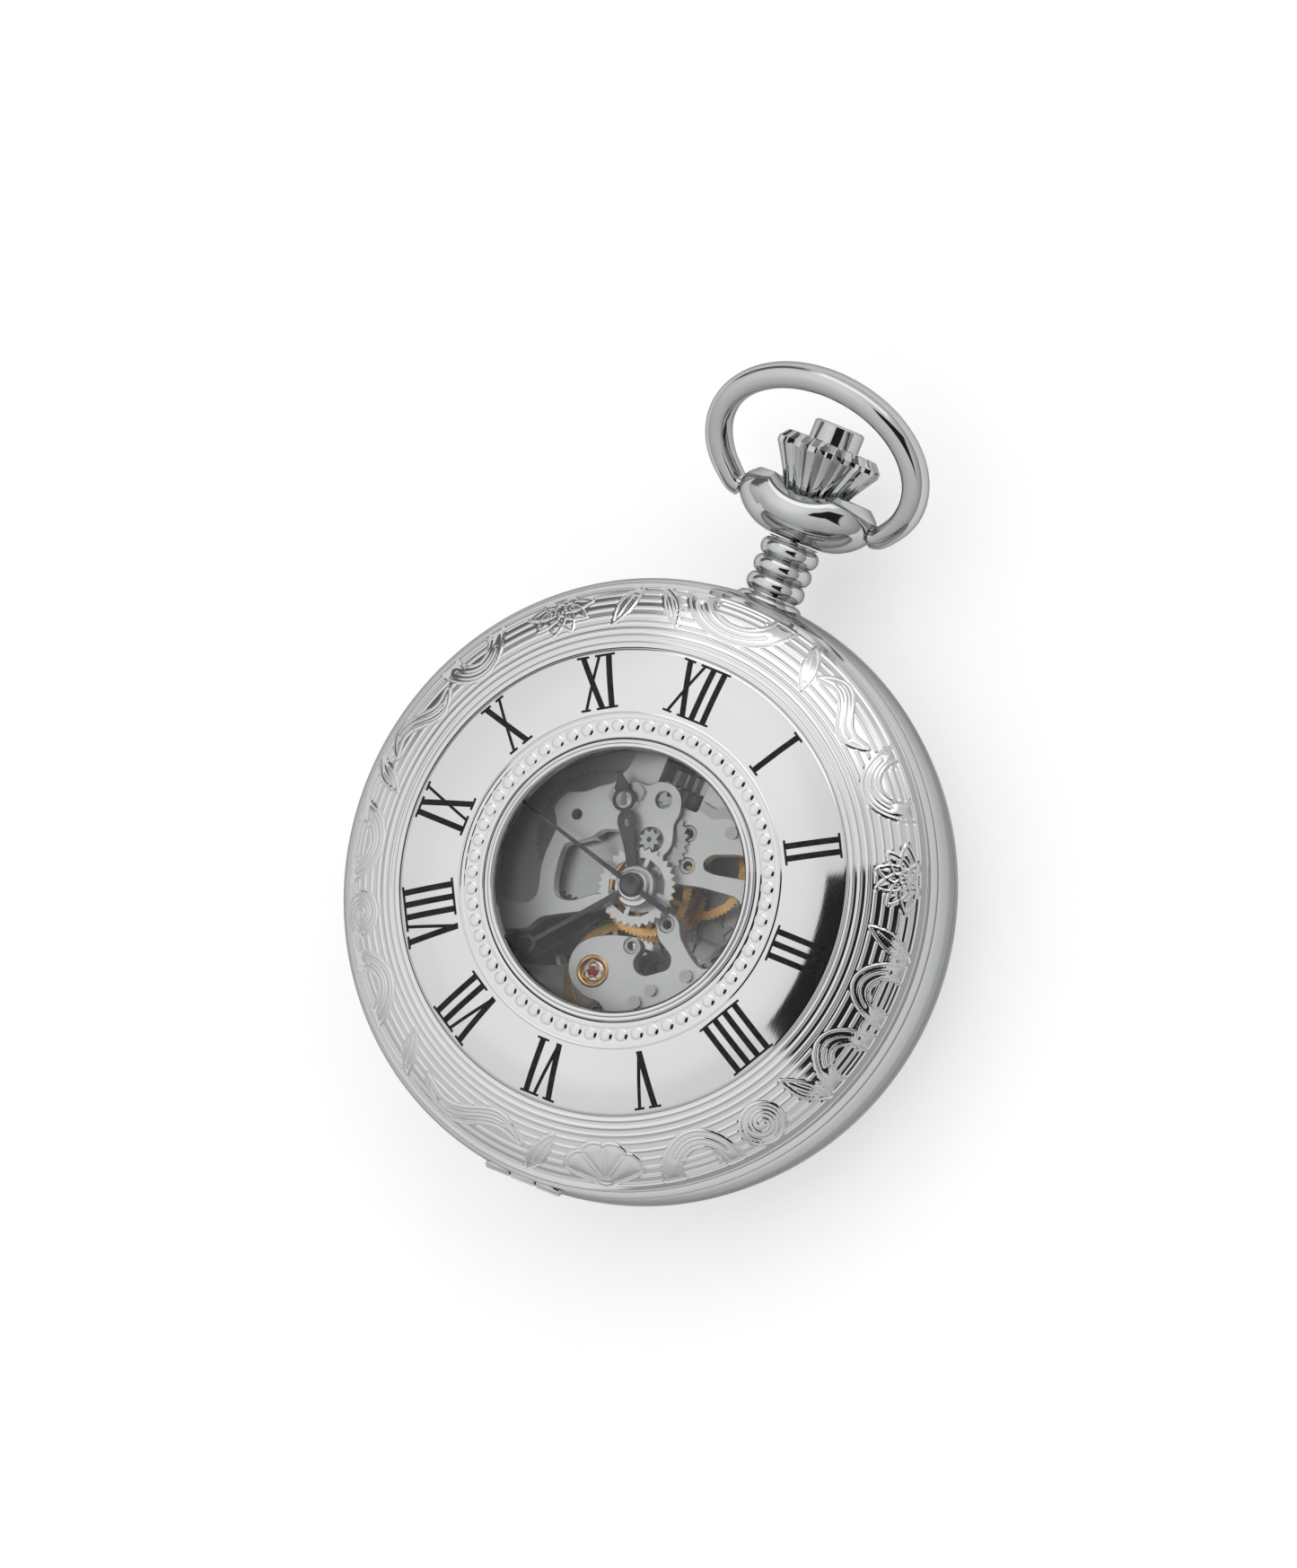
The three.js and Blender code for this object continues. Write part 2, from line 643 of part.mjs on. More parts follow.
// ---- power ----
function springBand(inner, outer, turns, thickness) {
  const steps = Math.round(turns * 12);
  const spiral = (offset) =>
    Array.from({ length: steps + 1 }, (_, i) =>
      polar(inner + ((outer - inner) * i) / steps + offset, (360 * turns * i) / steps),
    );
  return outline([...spiral(0), ...spiral(thickness).reverse()]);
}

piece(
  movement,
  "barrel",
  cut(
    join(rod(4.85, 5.95, 7.1, 0, 0, 24), pinion(gears.barrel, 6.65, 7.1)),
    rod(4.55, 5.8, 6.9, 0, 0, 24),
    rod(0.6, 5, 8),
  ),
  steel,
  BARREL_AT,
);
piece(movement, "barrel_cover", ring(0.6, 4.45, 5.96, 6.1, 20), steel, BARREL_AT);
piece(
  movement,
  "barrel_arbor",
  join(rod(0.45, 4.5, 8.6), rod(1.1, 6.15, 6.85)),
  steel,
  BARREL_AT,
);
piece(movement, "mainspring", slab(springBand(1.3, 4.3, 3, 0.14), 6.2, 6.8), steel, BARREL_AT);
const WINDING_LAYER = [4.45, 4.78];
const CLICK_OUTLINE = [
  [-0.5, -0.6],
  [0.5, -0.6],
  [0.6, 0.2],
  [1.52, -0.62],
  [1.1, 0.5],
  [0, 0.7],
  [-0.6, 0.3],
];
const CLICK_SPRING_OUTLINE = [
  [-12.7, 4.2],
  [-12.4, 4.2],
  [-12.35, 6.4],
  [-10.6, 8.6],
  [-10.9, 8.9],
  [-12.7, 6.6],
];
const ratchetWheel = cut(pinion(gears.ratchet, ...WINDING_LAYER), rod(0.5, 4, 6));
const crownWheel = join(pinion(gears.crownWheel, ...WINDING_LAYER), rod(0.3, 4.6, 5.6));
const click = cut(slab(outline(CLICK_OUTLINE), ...WINDING_LAYER), rod(0.25, 4, 6));
piece(movement, "ratchet_wheel", ratchetWheel, steel, BARREL_AT);
piece(movement, "crown_wheel", crownWheel, steel, CROWN_WHEEL_AT);
piece(movement, "click", click, steel, CLICK_AT);
piece(movement, "click_spring", slab(outline(CLICK_SPRING_OUTLINE), ...WINDING_LAYER), steel);

// ---- going train ----
piece(
  movement,
  "center_wheel",
  cut(
    join(
      wheel(gears.centreWheel, 7.4, 7.65, { rim: 0.45, hub: 0.95 }),
      pinion(gears.centrePinion, 6.5, 7.3),
      rod(0.36, 6.2, 10.9),
      rod(0.5, 7.2, 7.9),
    ),
    rod(0.22, 5, 12),
  ),
  brass,
);
piece(
  movement,
  "third_wheel",
  join(
    wheel(gears.thirdWheel, 4.86, 5.06),
    pinion(gears.thirdPinion, 7.25, 7.85),
    rod(0.2, 2.7, 8.7),
    rod(0.4, 4.7, 7.3),
  ),
  brass,
  THIRD_AT,
);
piece(
  movement,
  "fourth_wheel",
  join(wheel(gears.fourthWheel, 4.1, 4.32), pinion(gears.fourthPinion, 4.45, 5.3), rod(0.15, 2.7, 11.4)),
  brass,
);
function escapeWheel() {
  const tips = 15;
  const points = [];
  for (let i = 0; i < tips; i++) {
    const start = (i * 360) / tips;
    points.push(polar(2.2, start), polar(2.85, start + 9), polar(2.78, start + 14), polar(2.25, start + 13));
  }
  const shape = outline(points);
  addWindows(shape, 1.95, 0.5, 4, 0.3);
  return join(slab(shape, 3.2, 3.42), pinion(gears.escapePinion, 3.9, 4.5), rod(0.15, 2.7, 8.7));
}
piece(movement, "escape_wheel", escapeWheel(), steel, ESCAPE_AT);

// The pallet fork is drawn with its pivot at the origin and its fork along +X, then turned to the balance.
const FORK_LENGTH = Math.hypot(BALANCE_AT[0] - PALLET_AT[0], BALANCE_AT[1] - PALLET_AT[1]);
function palletFork() {
  const horns = FORK_LENGTH - 0.42;
  const shape = outline([
    [-0.74, 1.42],
    [-0.34, 1.5],
    [0.25, 0.4],
    [horns - 0.6, 0.18],
    [horns, 0.4],
    [horns, 0.14],
    [horns - 0.35, 0],
    [horns, -0.14],
    [horns, -0.4],
    [horns - 0.6, -0.18],
    [0.25, -0.4],
    [-0.34, -1.5],
    [-0.74, -1.42],
    [-0.35, 0],
  ]);
  return join(slab(shape, 3.16, 3.44), rod(0.14, 2.7, 8.7));
}
const pallet = piece(movement, "pallet_fork", palletFork(), steel, PALLET_AT);
pallet.rotation.z = Math.atan2(BALANCE_AT[1] - PALLET_AT[1], BALANCE_AT[0] - PALLET_AT[0]);

function balanceWheel() {
  const shape = outline(arc(4.6, 0, 350, 35));
  addWindows(shape, 4.05, 0.6, 3, 0.4);
  return join(
    slab(shape, 2.2, 2.5),
    rod(0.3, 1.85, 3.2),
    rod(0.55, 3.1, 3.3),
    rod(0.18, 1.3, 8.6),
  );
}
piece(movement, "balance_wheel", balanceWheel(), brass, BALANCE_AT);
piece(movement, "hairspring", slab(springBand(0.7, 2.4, 3, 0.1), 1.95, 2.08), darkSteel, BALANCE_AT);

// ---- motion works and keyless works ----
piece(
  movement,
  "cannon_pinion",
  cut(join(pinion(gears.cannonPinion, 9.28, 9.6), rod(0.5, 9.5, 11.2)), rod(0.4, 9, 12)),
  steel,
);
const KEYLESS_LAYER = [9.28, 9.5];
const SETTING_LEVER_OUTLINE = [
  [0.75, 10.9],
  [1.9, 10.6],
  [2.9, 10.9],
  [3.6, 10.2],
  [3.9, 9.4],
  [3.0, 9.0],
  [2.4, 9.8],
  [0.75, 10.2],
];
const YOKE_OUTLINE = [
  [2.1, 7.9],
  [2.1, 7.2],
  [3.3, 6.9],
  [4.3, 7.4],
  [5.4, 7.4],
  [5.6, 8.1],
  [4.6, 8.5],
  [3.2, 7.7],
];
const minuteWheel = join(
  wheel(gears.minuteWheel, ...KEYLESS_LAYER, { arms: 5 }),
  pinion(gears.minutePinion, 9.4, 10.25),
);
const hourWheel = join(wheel(gears.hourWheel, 9.98, 10.2, { hub: 1.2 }), rod(0.75, 9.98, 10.72));
const studHole = rod(0.2, 9, 11);
piece(movement, "minute_wheel", cut(minuteWheel, studHole), steel, MINUTE_AT);
piece(movement, "hour_wheel", cut(hourWheel, rod(0.56, 9, 12)), steel);
const settingWheel = cut(pinion(gears.settingWheel, ...KEYLESS_LAYER), studHole);
piece(movement, "setting_wheel", settingWheel, steel, SETTING_AT);
piece(movement, "setting_lever", slab(outline(SETTING_LEVER_OUTLINE), ...KEYLESS_LAYER), steel);
piece(movement, "yoke", slab(outline(YOKE_OUTLINE), ...KEYLESS_LAYER), steel);

const windingPinionOutline = { teeth: 12, module: 0.26, phase: 0 };
const clutchOutline = { teeth: 10, module: 0.15, phase: 0 };
const alongStem = (gear, from, to) =>
  cut(
    pinion(gear, 0, to - from).rotate([-90, 0, 0]).translate([0, from, STEM_Z]),
    stemRod(0.42, from - 1, to + 1, 10),
  );
piece(movement, "winding_pinion", alongStem(windingPinionOutline, 8.3, 9.4), steel);
piece(movement, "sliding_pinion", alongStem(clutchOutline, 7.05, 8.1), steel);
const rodBore = stemRod(BUTTON.rod + 0.05, BUTTON.rodEnd - BUTTON.travel - 0.2, 35, 8);
const tube = stemRod(2.2, 32.0, CROWN.base - 0.05, 20);
const stem = cut(join(stemRod(0.36, 5.6, CROWN.base - 0.1, 8), tube), rodBore);
piece(pendant, "winding_stem", stem, steel);

// ---- hands ----
function hand(length, width, ringAt, hub, bore, bottom, top) {
  const waist = [width * 0.3, length * 0.55];
  const edge = [[-width / 2, 0], [width / 2, 0], waist, [0, length], [-waist[0], waist[1]]];
  const blade = slab(outline(edge), bottom, top);
  const moon = rod(0.85, bottom, top, 0, ringAt);
  const moonHole = rod(0.5, bottom - 1, top + 1, 0, ringAt, 8);
  const body = join(blade, moon, rod(hub, bottom, top, 0, 0, 16));
  return cut(body, moonHole, rod(bore, bottom - 1, top + 1, 0, 0, 12));
}
const hourHand = piece(movement, "hour_hand", hand(9.0, 1.1, 6.7, 1.6, 0.8, 10.5, 10.68), darkSteel);
hourHand.rotation.z = -degrees(HAND_ANGLES.hour);
const minuteHand = piece(movement, "minute_hand", hand(13.0, 0.9, 9.6, 1.2, 0.54, 11.0, 11.16), darkSteel);
minuteHand.rotation.z = -degrees(HAND_ANGLES.minute);

function secondsHand() {
  const needle = outline([[-0.3, -3.8], [0.3, -3.8], [0.22, 0], [0.06, 11.8], [-0.06, 11.8], [-0.22, 0]]);
  return join(slab(needle, 11.5, 11.62), rod(0.9, 11.46, 11.8, 0, 0, 20));
}
const secondsMesh = piece(movement, "seconds_hand", secondsHand(), darkSteel);
secondsMesh.rotation.z = -degrees(HAND_ANGLES.seconds);

export default watch;
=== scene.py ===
"""The looks of a half-hunter pocket watch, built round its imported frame.

Lengths are in millimetres until a mesh is made.
"""

import json
from math import atan2, cos, hypot, pi, radians, sin

import bmesh
import bpy
import numpy as np
from mathutils import Matrix, Vector
from mathutils.geometry import tessellate_polygon


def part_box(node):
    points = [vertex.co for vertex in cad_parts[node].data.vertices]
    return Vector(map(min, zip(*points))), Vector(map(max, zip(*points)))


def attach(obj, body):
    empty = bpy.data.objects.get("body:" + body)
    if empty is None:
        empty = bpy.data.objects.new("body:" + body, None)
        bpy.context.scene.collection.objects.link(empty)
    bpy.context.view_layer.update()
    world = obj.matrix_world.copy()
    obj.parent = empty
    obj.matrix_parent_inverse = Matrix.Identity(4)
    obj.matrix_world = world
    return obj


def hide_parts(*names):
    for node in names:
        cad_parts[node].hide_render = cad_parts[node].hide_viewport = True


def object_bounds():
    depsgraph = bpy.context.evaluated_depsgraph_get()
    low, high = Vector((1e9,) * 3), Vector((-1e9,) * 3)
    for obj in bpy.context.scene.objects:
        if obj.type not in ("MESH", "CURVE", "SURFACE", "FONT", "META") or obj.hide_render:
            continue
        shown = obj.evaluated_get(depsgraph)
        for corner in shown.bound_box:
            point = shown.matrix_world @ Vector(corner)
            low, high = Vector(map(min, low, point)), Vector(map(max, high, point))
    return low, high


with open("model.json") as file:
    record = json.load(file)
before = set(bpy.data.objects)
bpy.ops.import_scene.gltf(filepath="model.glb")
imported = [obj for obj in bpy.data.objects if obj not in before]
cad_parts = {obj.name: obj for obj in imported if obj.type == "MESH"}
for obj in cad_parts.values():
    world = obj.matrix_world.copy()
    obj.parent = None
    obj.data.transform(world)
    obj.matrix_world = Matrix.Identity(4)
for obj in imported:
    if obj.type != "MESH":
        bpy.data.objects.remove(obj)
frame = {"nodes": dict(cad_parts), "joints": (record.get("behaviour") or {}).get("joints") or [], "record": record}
cad_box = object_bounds()

MM = 0.001


# ---- places read from the frame ----
def node_box(node):
    """A node's lowest and highest corners, in millimetres."""
    low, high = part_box(node)
    return np.array(low) / MM, np.array(high) / MM


def joint_at(name):
    """A joint's point, in millimetres."""
    return np.array(next(j for j in frame["joints"] if j["name"] == name)["pos_m"]) / MM


HINGE = joint_at("lid_hinge")
PIVOT = joint_at("bow_swing")
BALANCE = joint_at("balance_swing")
STEM_Z = PIVOT[2]

# ---- camera ----
TO_CAMERA = Vector((0.34, 0.0, 0.9404)).normalized()
CAMERA_RIGHT = Vector((0.8713, 0.3764, -0.315))
CAMERA_TARGET = Vector((-0.87, 7.58, 14.0)) * MM
CAMERA_DISTANCE = 1.5
SENSOR_WIDTH = 36.0
FRAME_HEIGHT = 0.11885  # what the picture's long side spans at the target


def make_camera():
    data = bpy.data.cameras.new("camera")
    data.sensor_width = SENSOR_WIDTH
    data.lens = SENSOR_WIDTH * CAMERA_DISTANCE / FRAME_HEIGHT
    data.clip_start, data.clip_end = 0.05, 30.0
    camera = bpy.data.objects.new("camera", data)
    right = (CAMERA_RIGHT - CAMERA_RIGHT.dot(TO_CAMERA) * TO_CAMERA).normalized()
    turn = Matrix((right, TO_CAMERA.cross(right), TO_CAMERA)).transposed().to_4x4()
    camera.matrix_world = Matrix.Translation(CAMERA_TARGET + TO_CAMERA * CAMERA_DISTANCE) @ turn
    bpy.context.scene.collection.objects.link(camera)
    bpy.context.scene.camera = camera


make_camera()


# ---- node helpers ----
class Nodes:
    """A short way to write a node tree. A socket or a plain value can be any node's input."""

    def __init__(self, tree):
        self.tree = tree
        self.tree.nodes.clear()

    def feed(self, node, inputs):
        for key, value in inputs.items():
            if isinstance(value, bpy.types.NodeSocket):
                self.tree.links.new(value, node.inputs[key])
            else:
                node.inputs[key].default_value = value

    def add(self, kind, inputs=None, out=0, **settings):
        node = self.tree.nodes.new(kind)
        for name, value in settings.items():
            setattr(node, name, value)
        self.feed(node, inputs or {})
        return node.outputs[out] if node.outputs else None

    def math(self, operation, a, b=0.0):
        return self.add("ShaderNodeMath", {0: a, 1: b}, operation=operation)

    def product(self, value, *others):
        for other in others:
            value = self.math("MULTIPLY", value, other)
        return value

    def away(self, value, at):
        return self.math("ABSOLUTE", self.math("SUBTRACT", value, at))

    def smooth(self, value, low, high, to_low=0.0, to_high=1.0):
        """value from low to high becomes to_low to to_high, with soft ends."""
        inputs = {"Value": value, "From Min": low, "From Max": high}
        inputs |= {"To Min": to_low, "To Max": to_high}
        return self.add("ShaderNodeMapRange", inputs, interpolation_type="SMOOTHSTEP")

    def fade(self, value, low, high):
        """1 below low and 0 above high."""
        return self.smooth(value, low, high, 1.0, 0.0)

    def mix(self, share, a, b):
        """Mixes two colours."""
        node = self.tree.nodes.new("ShaderNodeMix")
        node.data_type = "RGBA"
        self.feed(node, {0: share, 6: a, 7: b})
        return node.outputs[2]

    def noise(self, vector, scale, detail=3.0, roughness=0.5):
        inputs = {"Vector": vector, "Scale": scale, "Detail": detail, "Roughness": roughness}
        return self.add("ShaderNodeTexNoise", inputs)

    def stretched(self, vector, scale):
        """vector with its three parts scaled apart, which draws a noise out into lines."""
        return self.add("ShaderNodeMapping", {"Vector": vector, "Scale": scale})


def grey(value):
    return (value, value, value, 1.0)


# ---- light ----
# The places below are parts of a direction: x and y from -1 to 1, with z up.
TENT = {"horizon": 0.43, "zenith": 0.77, "side": 0.12}
PANELS = [
    {"at": (-0.28, 0.05), "half": (0.22, 0.42), "edge": 0.14, "level": 0.10},
    {"at": (-0.05, 0.70), "half": (0.45, 0.14), "edge": 0.06, "level": 0.5},
]
ARC = {"centre_x": -0.2, "radius": 0.81, "half": 0.04, "edge": 0.09, "share": 0.8}
OPENING = {"half": 0.13, "spread": 0.5, "edge": 0.03, "near": (0.055, 0.07), "far": (0.64, 0.7)}
DARKNESS = 0.975
TENT_STRENGTH = 1.35


def make_world():
    """A pale tent with brighter panels, a dark arc on its left and a dark wedge on its right."""
    world = bpy.data.worlds.new("studio")
    bpy.context.scene.world = world
    world.use_nodes = True
    n = Nodes(world.node_tree)
    ray = n.add("ShaderNodeTexCoord", out="Generated")
    parts = n.tree.nodes.new("ShaderNodeSeparateXYZ")
    n.tree.links.new(ray, parts.inputs[0])
    x, y, z = parts.outputs
    above = n.math("GREATER_THAN", z, 0.0)
    leaning = n.math("ADD", n.product(x, -0.55), n.product(y, 0.45))
    side = n.smooth(leaning, -0.6, 0.7, -TENT["side"], TENT["side"])
    level = n.math("ADD", n.smooth(z, -0.05, 0.9, TENT["horizon"], TENT["zenith"]), side)
    for panel in PANELS:
        spans = [
            n.fade(n.away(part, at), half - panel["edge"], half + panel["edge"])
            for part, at, half in zip((x, y), panel["at"], panel["half"])
        ]
        level = n.math("ADD", level, n.product(*spans, above, panel["level"]))
    across = n.math("POWER", n.math("SUBTRACT", x, ARC["centre_x"]), 2.0)
    reach = n.math("SQRT", n.math("ADD", across, n.math("POWER", y, 2.0)))
    band = n.fade(n.away(reach, ARC["radius"]), ARC["half"], ARC["edge"])
    arc_share = n.product(band, n.smooth(y, 0.0, 0.15), n.fade(x, -0.6, -0.42), above, ARC["share"])
    spread = n.math("ADD", OPENING["half"], n.product(x, OPENING["spread"]))
    reach = n.math("DIVIDE", n.math("ABSOLUTE", y), spread)
    wedge = n.fade(reach, 1 - OPENING["edge"], 1 + OPENING["edge"])
    wedge = n.product(wedge, n.smooth(x, *OPENING["near"]), n.fade(x, *OPENING["far"]), above)
    dark = n.product(n.math("MAXIMUM", wedge, arc_share), DARKNESS)
    level = n.product(level, n.math("SUBTRACT", 1.0, dark))
    colour = n.add("ShaderNodeCombineColor", {0: level, 1: level, 2: level})
    background = n.add("ShaderNodeBackground", {"Color": colour, "Strength": TENT_STRENGTH})
    n.add("ShaderNodeOutputWorld", {"Surface": background})


def make_softbox(name, place, size, power):
    """A round area light that faces the watch and isn't mirrored in it."""
    data = bpy.data.lights.new(name, "AREA")
    data.shape = "DISK"
    data.size = size
    data.energy = power
    light = bpy.data.objects.new(name, data)
    light.location = place
    light.visible_glossy = False
    facing = CAMERA_TARGET - Vector(place)
    light.rotation_euler = facing.to_track_quat("-Z", "Y").to_euler()
    bpy.context.scene.collection.objects.link(light)


make_world()
make_softbox("key_softbox", (-0.9, 0.7, 1.9), 1.6, 1.2)
make_softbox("fill_softbox", (1.3, -1.1, 1.2), 1.2, 0.5)
bpy.context.scene.view_settings.view_transform = "Standard"


# ---- materials ----
EDGE_TINT = (0.40, 0.405, 0.41, 1.0)  # polished metal is a little darker where it is seen edge on


def new_material(name):
    """A material, its node tree and the place that its textures are read at."""
    material = bpy.data.materials.new(name)
    material.use_nodes = True
    n = Nodes(material.node_tree)
    return material, n, n.add("ShaderNodeTexCoord", out="Object")


def uneven(n, share, light, dark):
    """A tone that wavers between two colours."""
    return n.mix(n.smooth(share, 0.3, 0.7), (*dark, 1.0), (*light, 1.0))


def finish_material(n, colour, roughness, more, bump=None, strength=0.0, distance=0.0):
    inputs = {"Base Color": colour, "Roughness": roughness, **more}
    if bump is not None:
        relief = {"Height": bump, "Strength": strength, "Distance": distance}
        inputs["Normal"] = n.add("ShaderNodeBump", relief)
    shader = n.add("ShaderNodeBsdfPrincipled", inputs)
    n.add("ShaderNodeOutputMaterial", {"Surface": shader})


def polished(name, light, dark, roughness, wear=0.03):
    """Polished plate: an uneven tone, hairline scratches and soft smudges in the gloss."""
    material, n, place = new_material(name)
    colour = uneven(n, n.noise(place, 60.0, 4.0), light, dark)
    smudge = n.noise(place, 220.0, 5.0, 0.6)
    gloss = n.smooth(smudge, 0.35, 0.75, roughness, roughness + wear)
    hair = n.noise(n.stretched(place, (9000.0, 500.0, 3000.0)), 1.0, 2.0)
    more = {"Metallic": 1.0, "Specular Tint": EDGE_TINT}
    finish_material(n, colour, gloss, more, hair, 0.04, 0.00002)
    return material


def satin(name, light, dark, roughness):
    """Satin metal with a straight grain."""
    material, n, place = new_material(name)
    grain = n.noise(n.stretched(place, (1500.0, 20000.0, 6000.0)), 1.0, 4.0, 0.6)
    cloud = n.noise(place, 350.0, 4.0)
    colour = uneven(n, n.math("ADD", n.product(grain, 0.3), n.product(cloud, 0.7)), light, dark)
    gloss = n.smooth(grain, 0.3, 0.7, roughness - 0.02, roughness + 0.03)
    finish_material(n, colour, gloss, {"Metallic": 1.0}, grain, 0.05, 0.000002)
    return material


def gilt(name, light, dark, roughness):
    """Gilt brass: a warm metal with fine turning marks."""
    material, n, place = new_material(name)
    colour = uneven(n, n.noise(place, 900.0, 4.0), light, dark)
    grain = n.noise(n.stretched(place, (14000.0, 1200.0, 4000.0)), 1.0, 3.0)
    gloss = n.smooth(grain, 0.3, 0.7, roughness, roughness + 0.12)
    finish_material(n, colour, gloss, {"Metallic": 1.0}, grain, 0.05, 0.000004)
    return material


def enamel(name, light, dark, roughness):
    """Printed or filled lacquer with a faint orange peel."""
    material, n, place = new_material(name)
    peel = n.noise(place, 2500.0, 3.0)
    gloss = n.smooth(peel, 0.3, 0.7, roughness, roughness + 0.12)
    finish_material(n, uneven(n, peel, light, dark), gloss, {"IOR": 1.22}, peel, 0.15, 0.00001)
    return material


def clear_glass(name):
    """Thin clear mineral glass: it lets light through and mirrors a little, more so at a slant."""
    material, n, place = new_material(name)
    dust = n.noise(place, 1500.0, 4.0, 0.7)
    inputs = {
        "Base Color": n.mix(dust, (0.92, 0.93, 0.93, 1.0), (0.96, 0.97, 0.97, 1.0)),
        "Roughness": n.smooth(dust, 0.5, 0.8, 0.02, 0.08),
        "Metallic": 1.0,
    }
    gloss = n.add("ShaderNodeBsdfPrincipled", inputs)
    clear = n.add("ShaderNodeBsdfTransparent", {"Color": (0.992, 0.994, 0.994, 1.0)})
    slant = n.add("ShaderNodeLayerWeight", {"Blend": 0.5}, out="Facing")
    share = n.math("ADD", 0.012, n.product(n.math("POWER", slant, 4.0), 0.5))
    both = n.add("ShaderNodeMixShader", {0: share, 1: clear, 2: gloss})
    n.add("ShaderNodeOutputMaterial", {"Surface": both})
    return material


# The case and the lid share one chrome in two tones: the lid's copy is painted lighter, as painted light on its
# upward faces, and the case copy is the darker one.
CASE = polished("case_chrome", (0.53, 0.535, 0.54), (0.48, 0.485, 0.49), 0.05)
LID_CHROME_PAINTED_LIGHTER = polished("lid_chrome_painted_lighter", (0.62, 0.622, 0.625), (0.585, 0.587, 0.59), 0.055, 0.02)
RING = satin("ring_grey", (0.27, 0.272, 0.276), (0.23, 0.232, 0.236), 0.5)
PLATE = satin("rhodium_plate", (0.74, 0.74, 0.74), (0.68, 0.68, 0.68), 0.42)
STEEL = satin("polished_steel", (0.54, 0.545, 0.55), (0.46, 0.465, 0.47), 0.3)
BRIGHT = satin("bright_steel", (0.76, 0.76, 0.76), (0.66, 0.66, 0.665), 0.3)
HAND = satin("dark_steel", (0.10, 0.10, 0.105), (0.055, 0.055, 0.06), 0.3)
BRASS = gilt("gilt_brass", (0.90, 0.55, 0.22), (0.72, 0.40, 0.13), 0.25)
DIAL = enamel("silvered_dial", (0.80, 0.80, 0.79), (0.72, 0.72, 0.71), 0.4)
INK = enamel("black_enamel", (0.022, 0.022, 0.024), (0.008, 0.008, 0.009), 0.3)
RUBY = enamel("ruby", (0.45, 0.03, 0.08), (0.30, 0.01, 0.04), 0.08)
GLASS = clear_glass("mineral_glass")

NODE_FINISH = {"case_steel": CASE, "lid_steel": LID_CHROME_PAINTED_LIGHTER, "plate": PLATE, "steel": STEEL}
NODE_FINISH |= {"blued": HAND, "brass": BRASS, "dial": DIAL, "glass": GLASS}
SLOT = {material: slot for slot, material in NODE_FINISH.items()}
SLOT |= {BRIGHT: "steel", INK: "blued"}
NODE_OWN_FINISH = {"movement_ring": RING, "hour_wheel": BRIGHT}
NODE_EDGE = 0.03  # the broken edge of every node


def dress_nodes():
    """Gives every CAD node that stays the finish of its material slot."""
    slots = {s["node"]: s["material_slot"] for s in frame["record"]["subparts"]}
    for name, node in frame["nodes"].items():
        node.data.materials.clear()
        node.data.materials.append(NODE_OWN_FINISH.get(name, NODE_FINISH[slots[name]]))
        edge = node.modifiers.new("edges", "BEVEL")
        edge.width = NODE_EDGE * MM
        edge.segments = 2
        edge.limit_method = "ANGLE"


dress_nodes()


# ---- mesh helpers ----
CORNER_STEPS = 4


def new_mesh(name, points, faces):
    """A mesh from points in millimetres."""
    mesh = bpy.data.meshes.new(name)
    mesh.from_pydata((np.asarray(points, float) * MM).tolist(), [], [tuple(f) for f in faces])
    return mesh


def new_object(name, mesh):
    made = bpy.data.objects.new(name, mesh)
    bpy.context.scene.collection.objects.link(made)
    return made


def turn_outwards(mesh):
    """Makes the faces of a closed mesh look outwards."""
    shaped = bmesh.new()
    shaped.from_mesh(mesh)
    bmesh.ops.recalc_face_normals(shaped, faces=shaped.faces)
    shaped.to_mesh(mesh)
    shaped.free()


def new_piece(name, points, faces, material, body, replaced=(), slot="", smooth=True):
    """Makes a piece from points in millimetres and lets it ride on a body.

    The slot is not used.
    """
    mesh = new_mesh(name, points, faces)
    mesh.validate()
    turn_outwards(mesh)
    if smooth:
        mesh.shade_smooth()
    mesh.materials.append(material)
    piece = new_object(name, mesh)
    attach(piece, body)
    slot = slot or SLOT.get(material)
    if replaced:
        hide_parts(*replaced)
    return piece


def sharpen(piece, degrees):
    """Keeps the edges that turn by more than an angle crisp."""
    piece.data.set_sharp_from_angle(angle=radians(degrees))


def grid_faces(rows, columns, close_rows=False, close_columns=True):
    """Quads of a rows by columns grid of points, numbered row by row."""
    r = np.arange(rows if close_rows else rows - 1)
    c = np.arange(columns if close_columns else columns - 1)
    r, c = np.meshgrid(r, c, indexing="ij")
    r1, c1 = (r + 1) % rows, (c + 1) % columns
    corners = [r * columns + c, r * columns + c1, r1 * columns + c1, r1 * columns + c]
    return np.stack(corners, -1).reshape(-1, 4).tolist()


def end_caps(points, columns):
    """The first and the last row of a tube's points as faces."""
    return [list(range(columns)), list(range(points - columns, points))]


def full_turn(steps):
    return np.linspace(0, 2 * pi, steps, endpoint=False)


def joined(*parts):
    """Coordinates put together into points."""
    return np.stack(parts, -1)


def line_run(line):
    """How far along a broken line each of its points is."""
    return np.concatenate([[0], np.cumsum(np.linalg.norm(np.diff(line, axis=0), axis=1))])


def smooth_line(points, per_span):
    """An open Catmull-Rom line through points of any dimension."""
    p = np.asarray(points, float)
    p = np.concatenate([[2 * p[0] - p[1]], p, [2 * p[-1] - p[-2]]])
    out = []
    for a, b, c, d in zip(p, p[1:], p[2:], p[3:]):
        for t in np.arange(per_span) / per_span:
            bend = (2 * a - 5 * b + 4 * c - d) * t**2 + (3 * b - a - 3 * c + d) * t**3
            out.append(0.5 * (2 * b + (c - a) * t + bend))
    return np.array([*out, p[-2]])


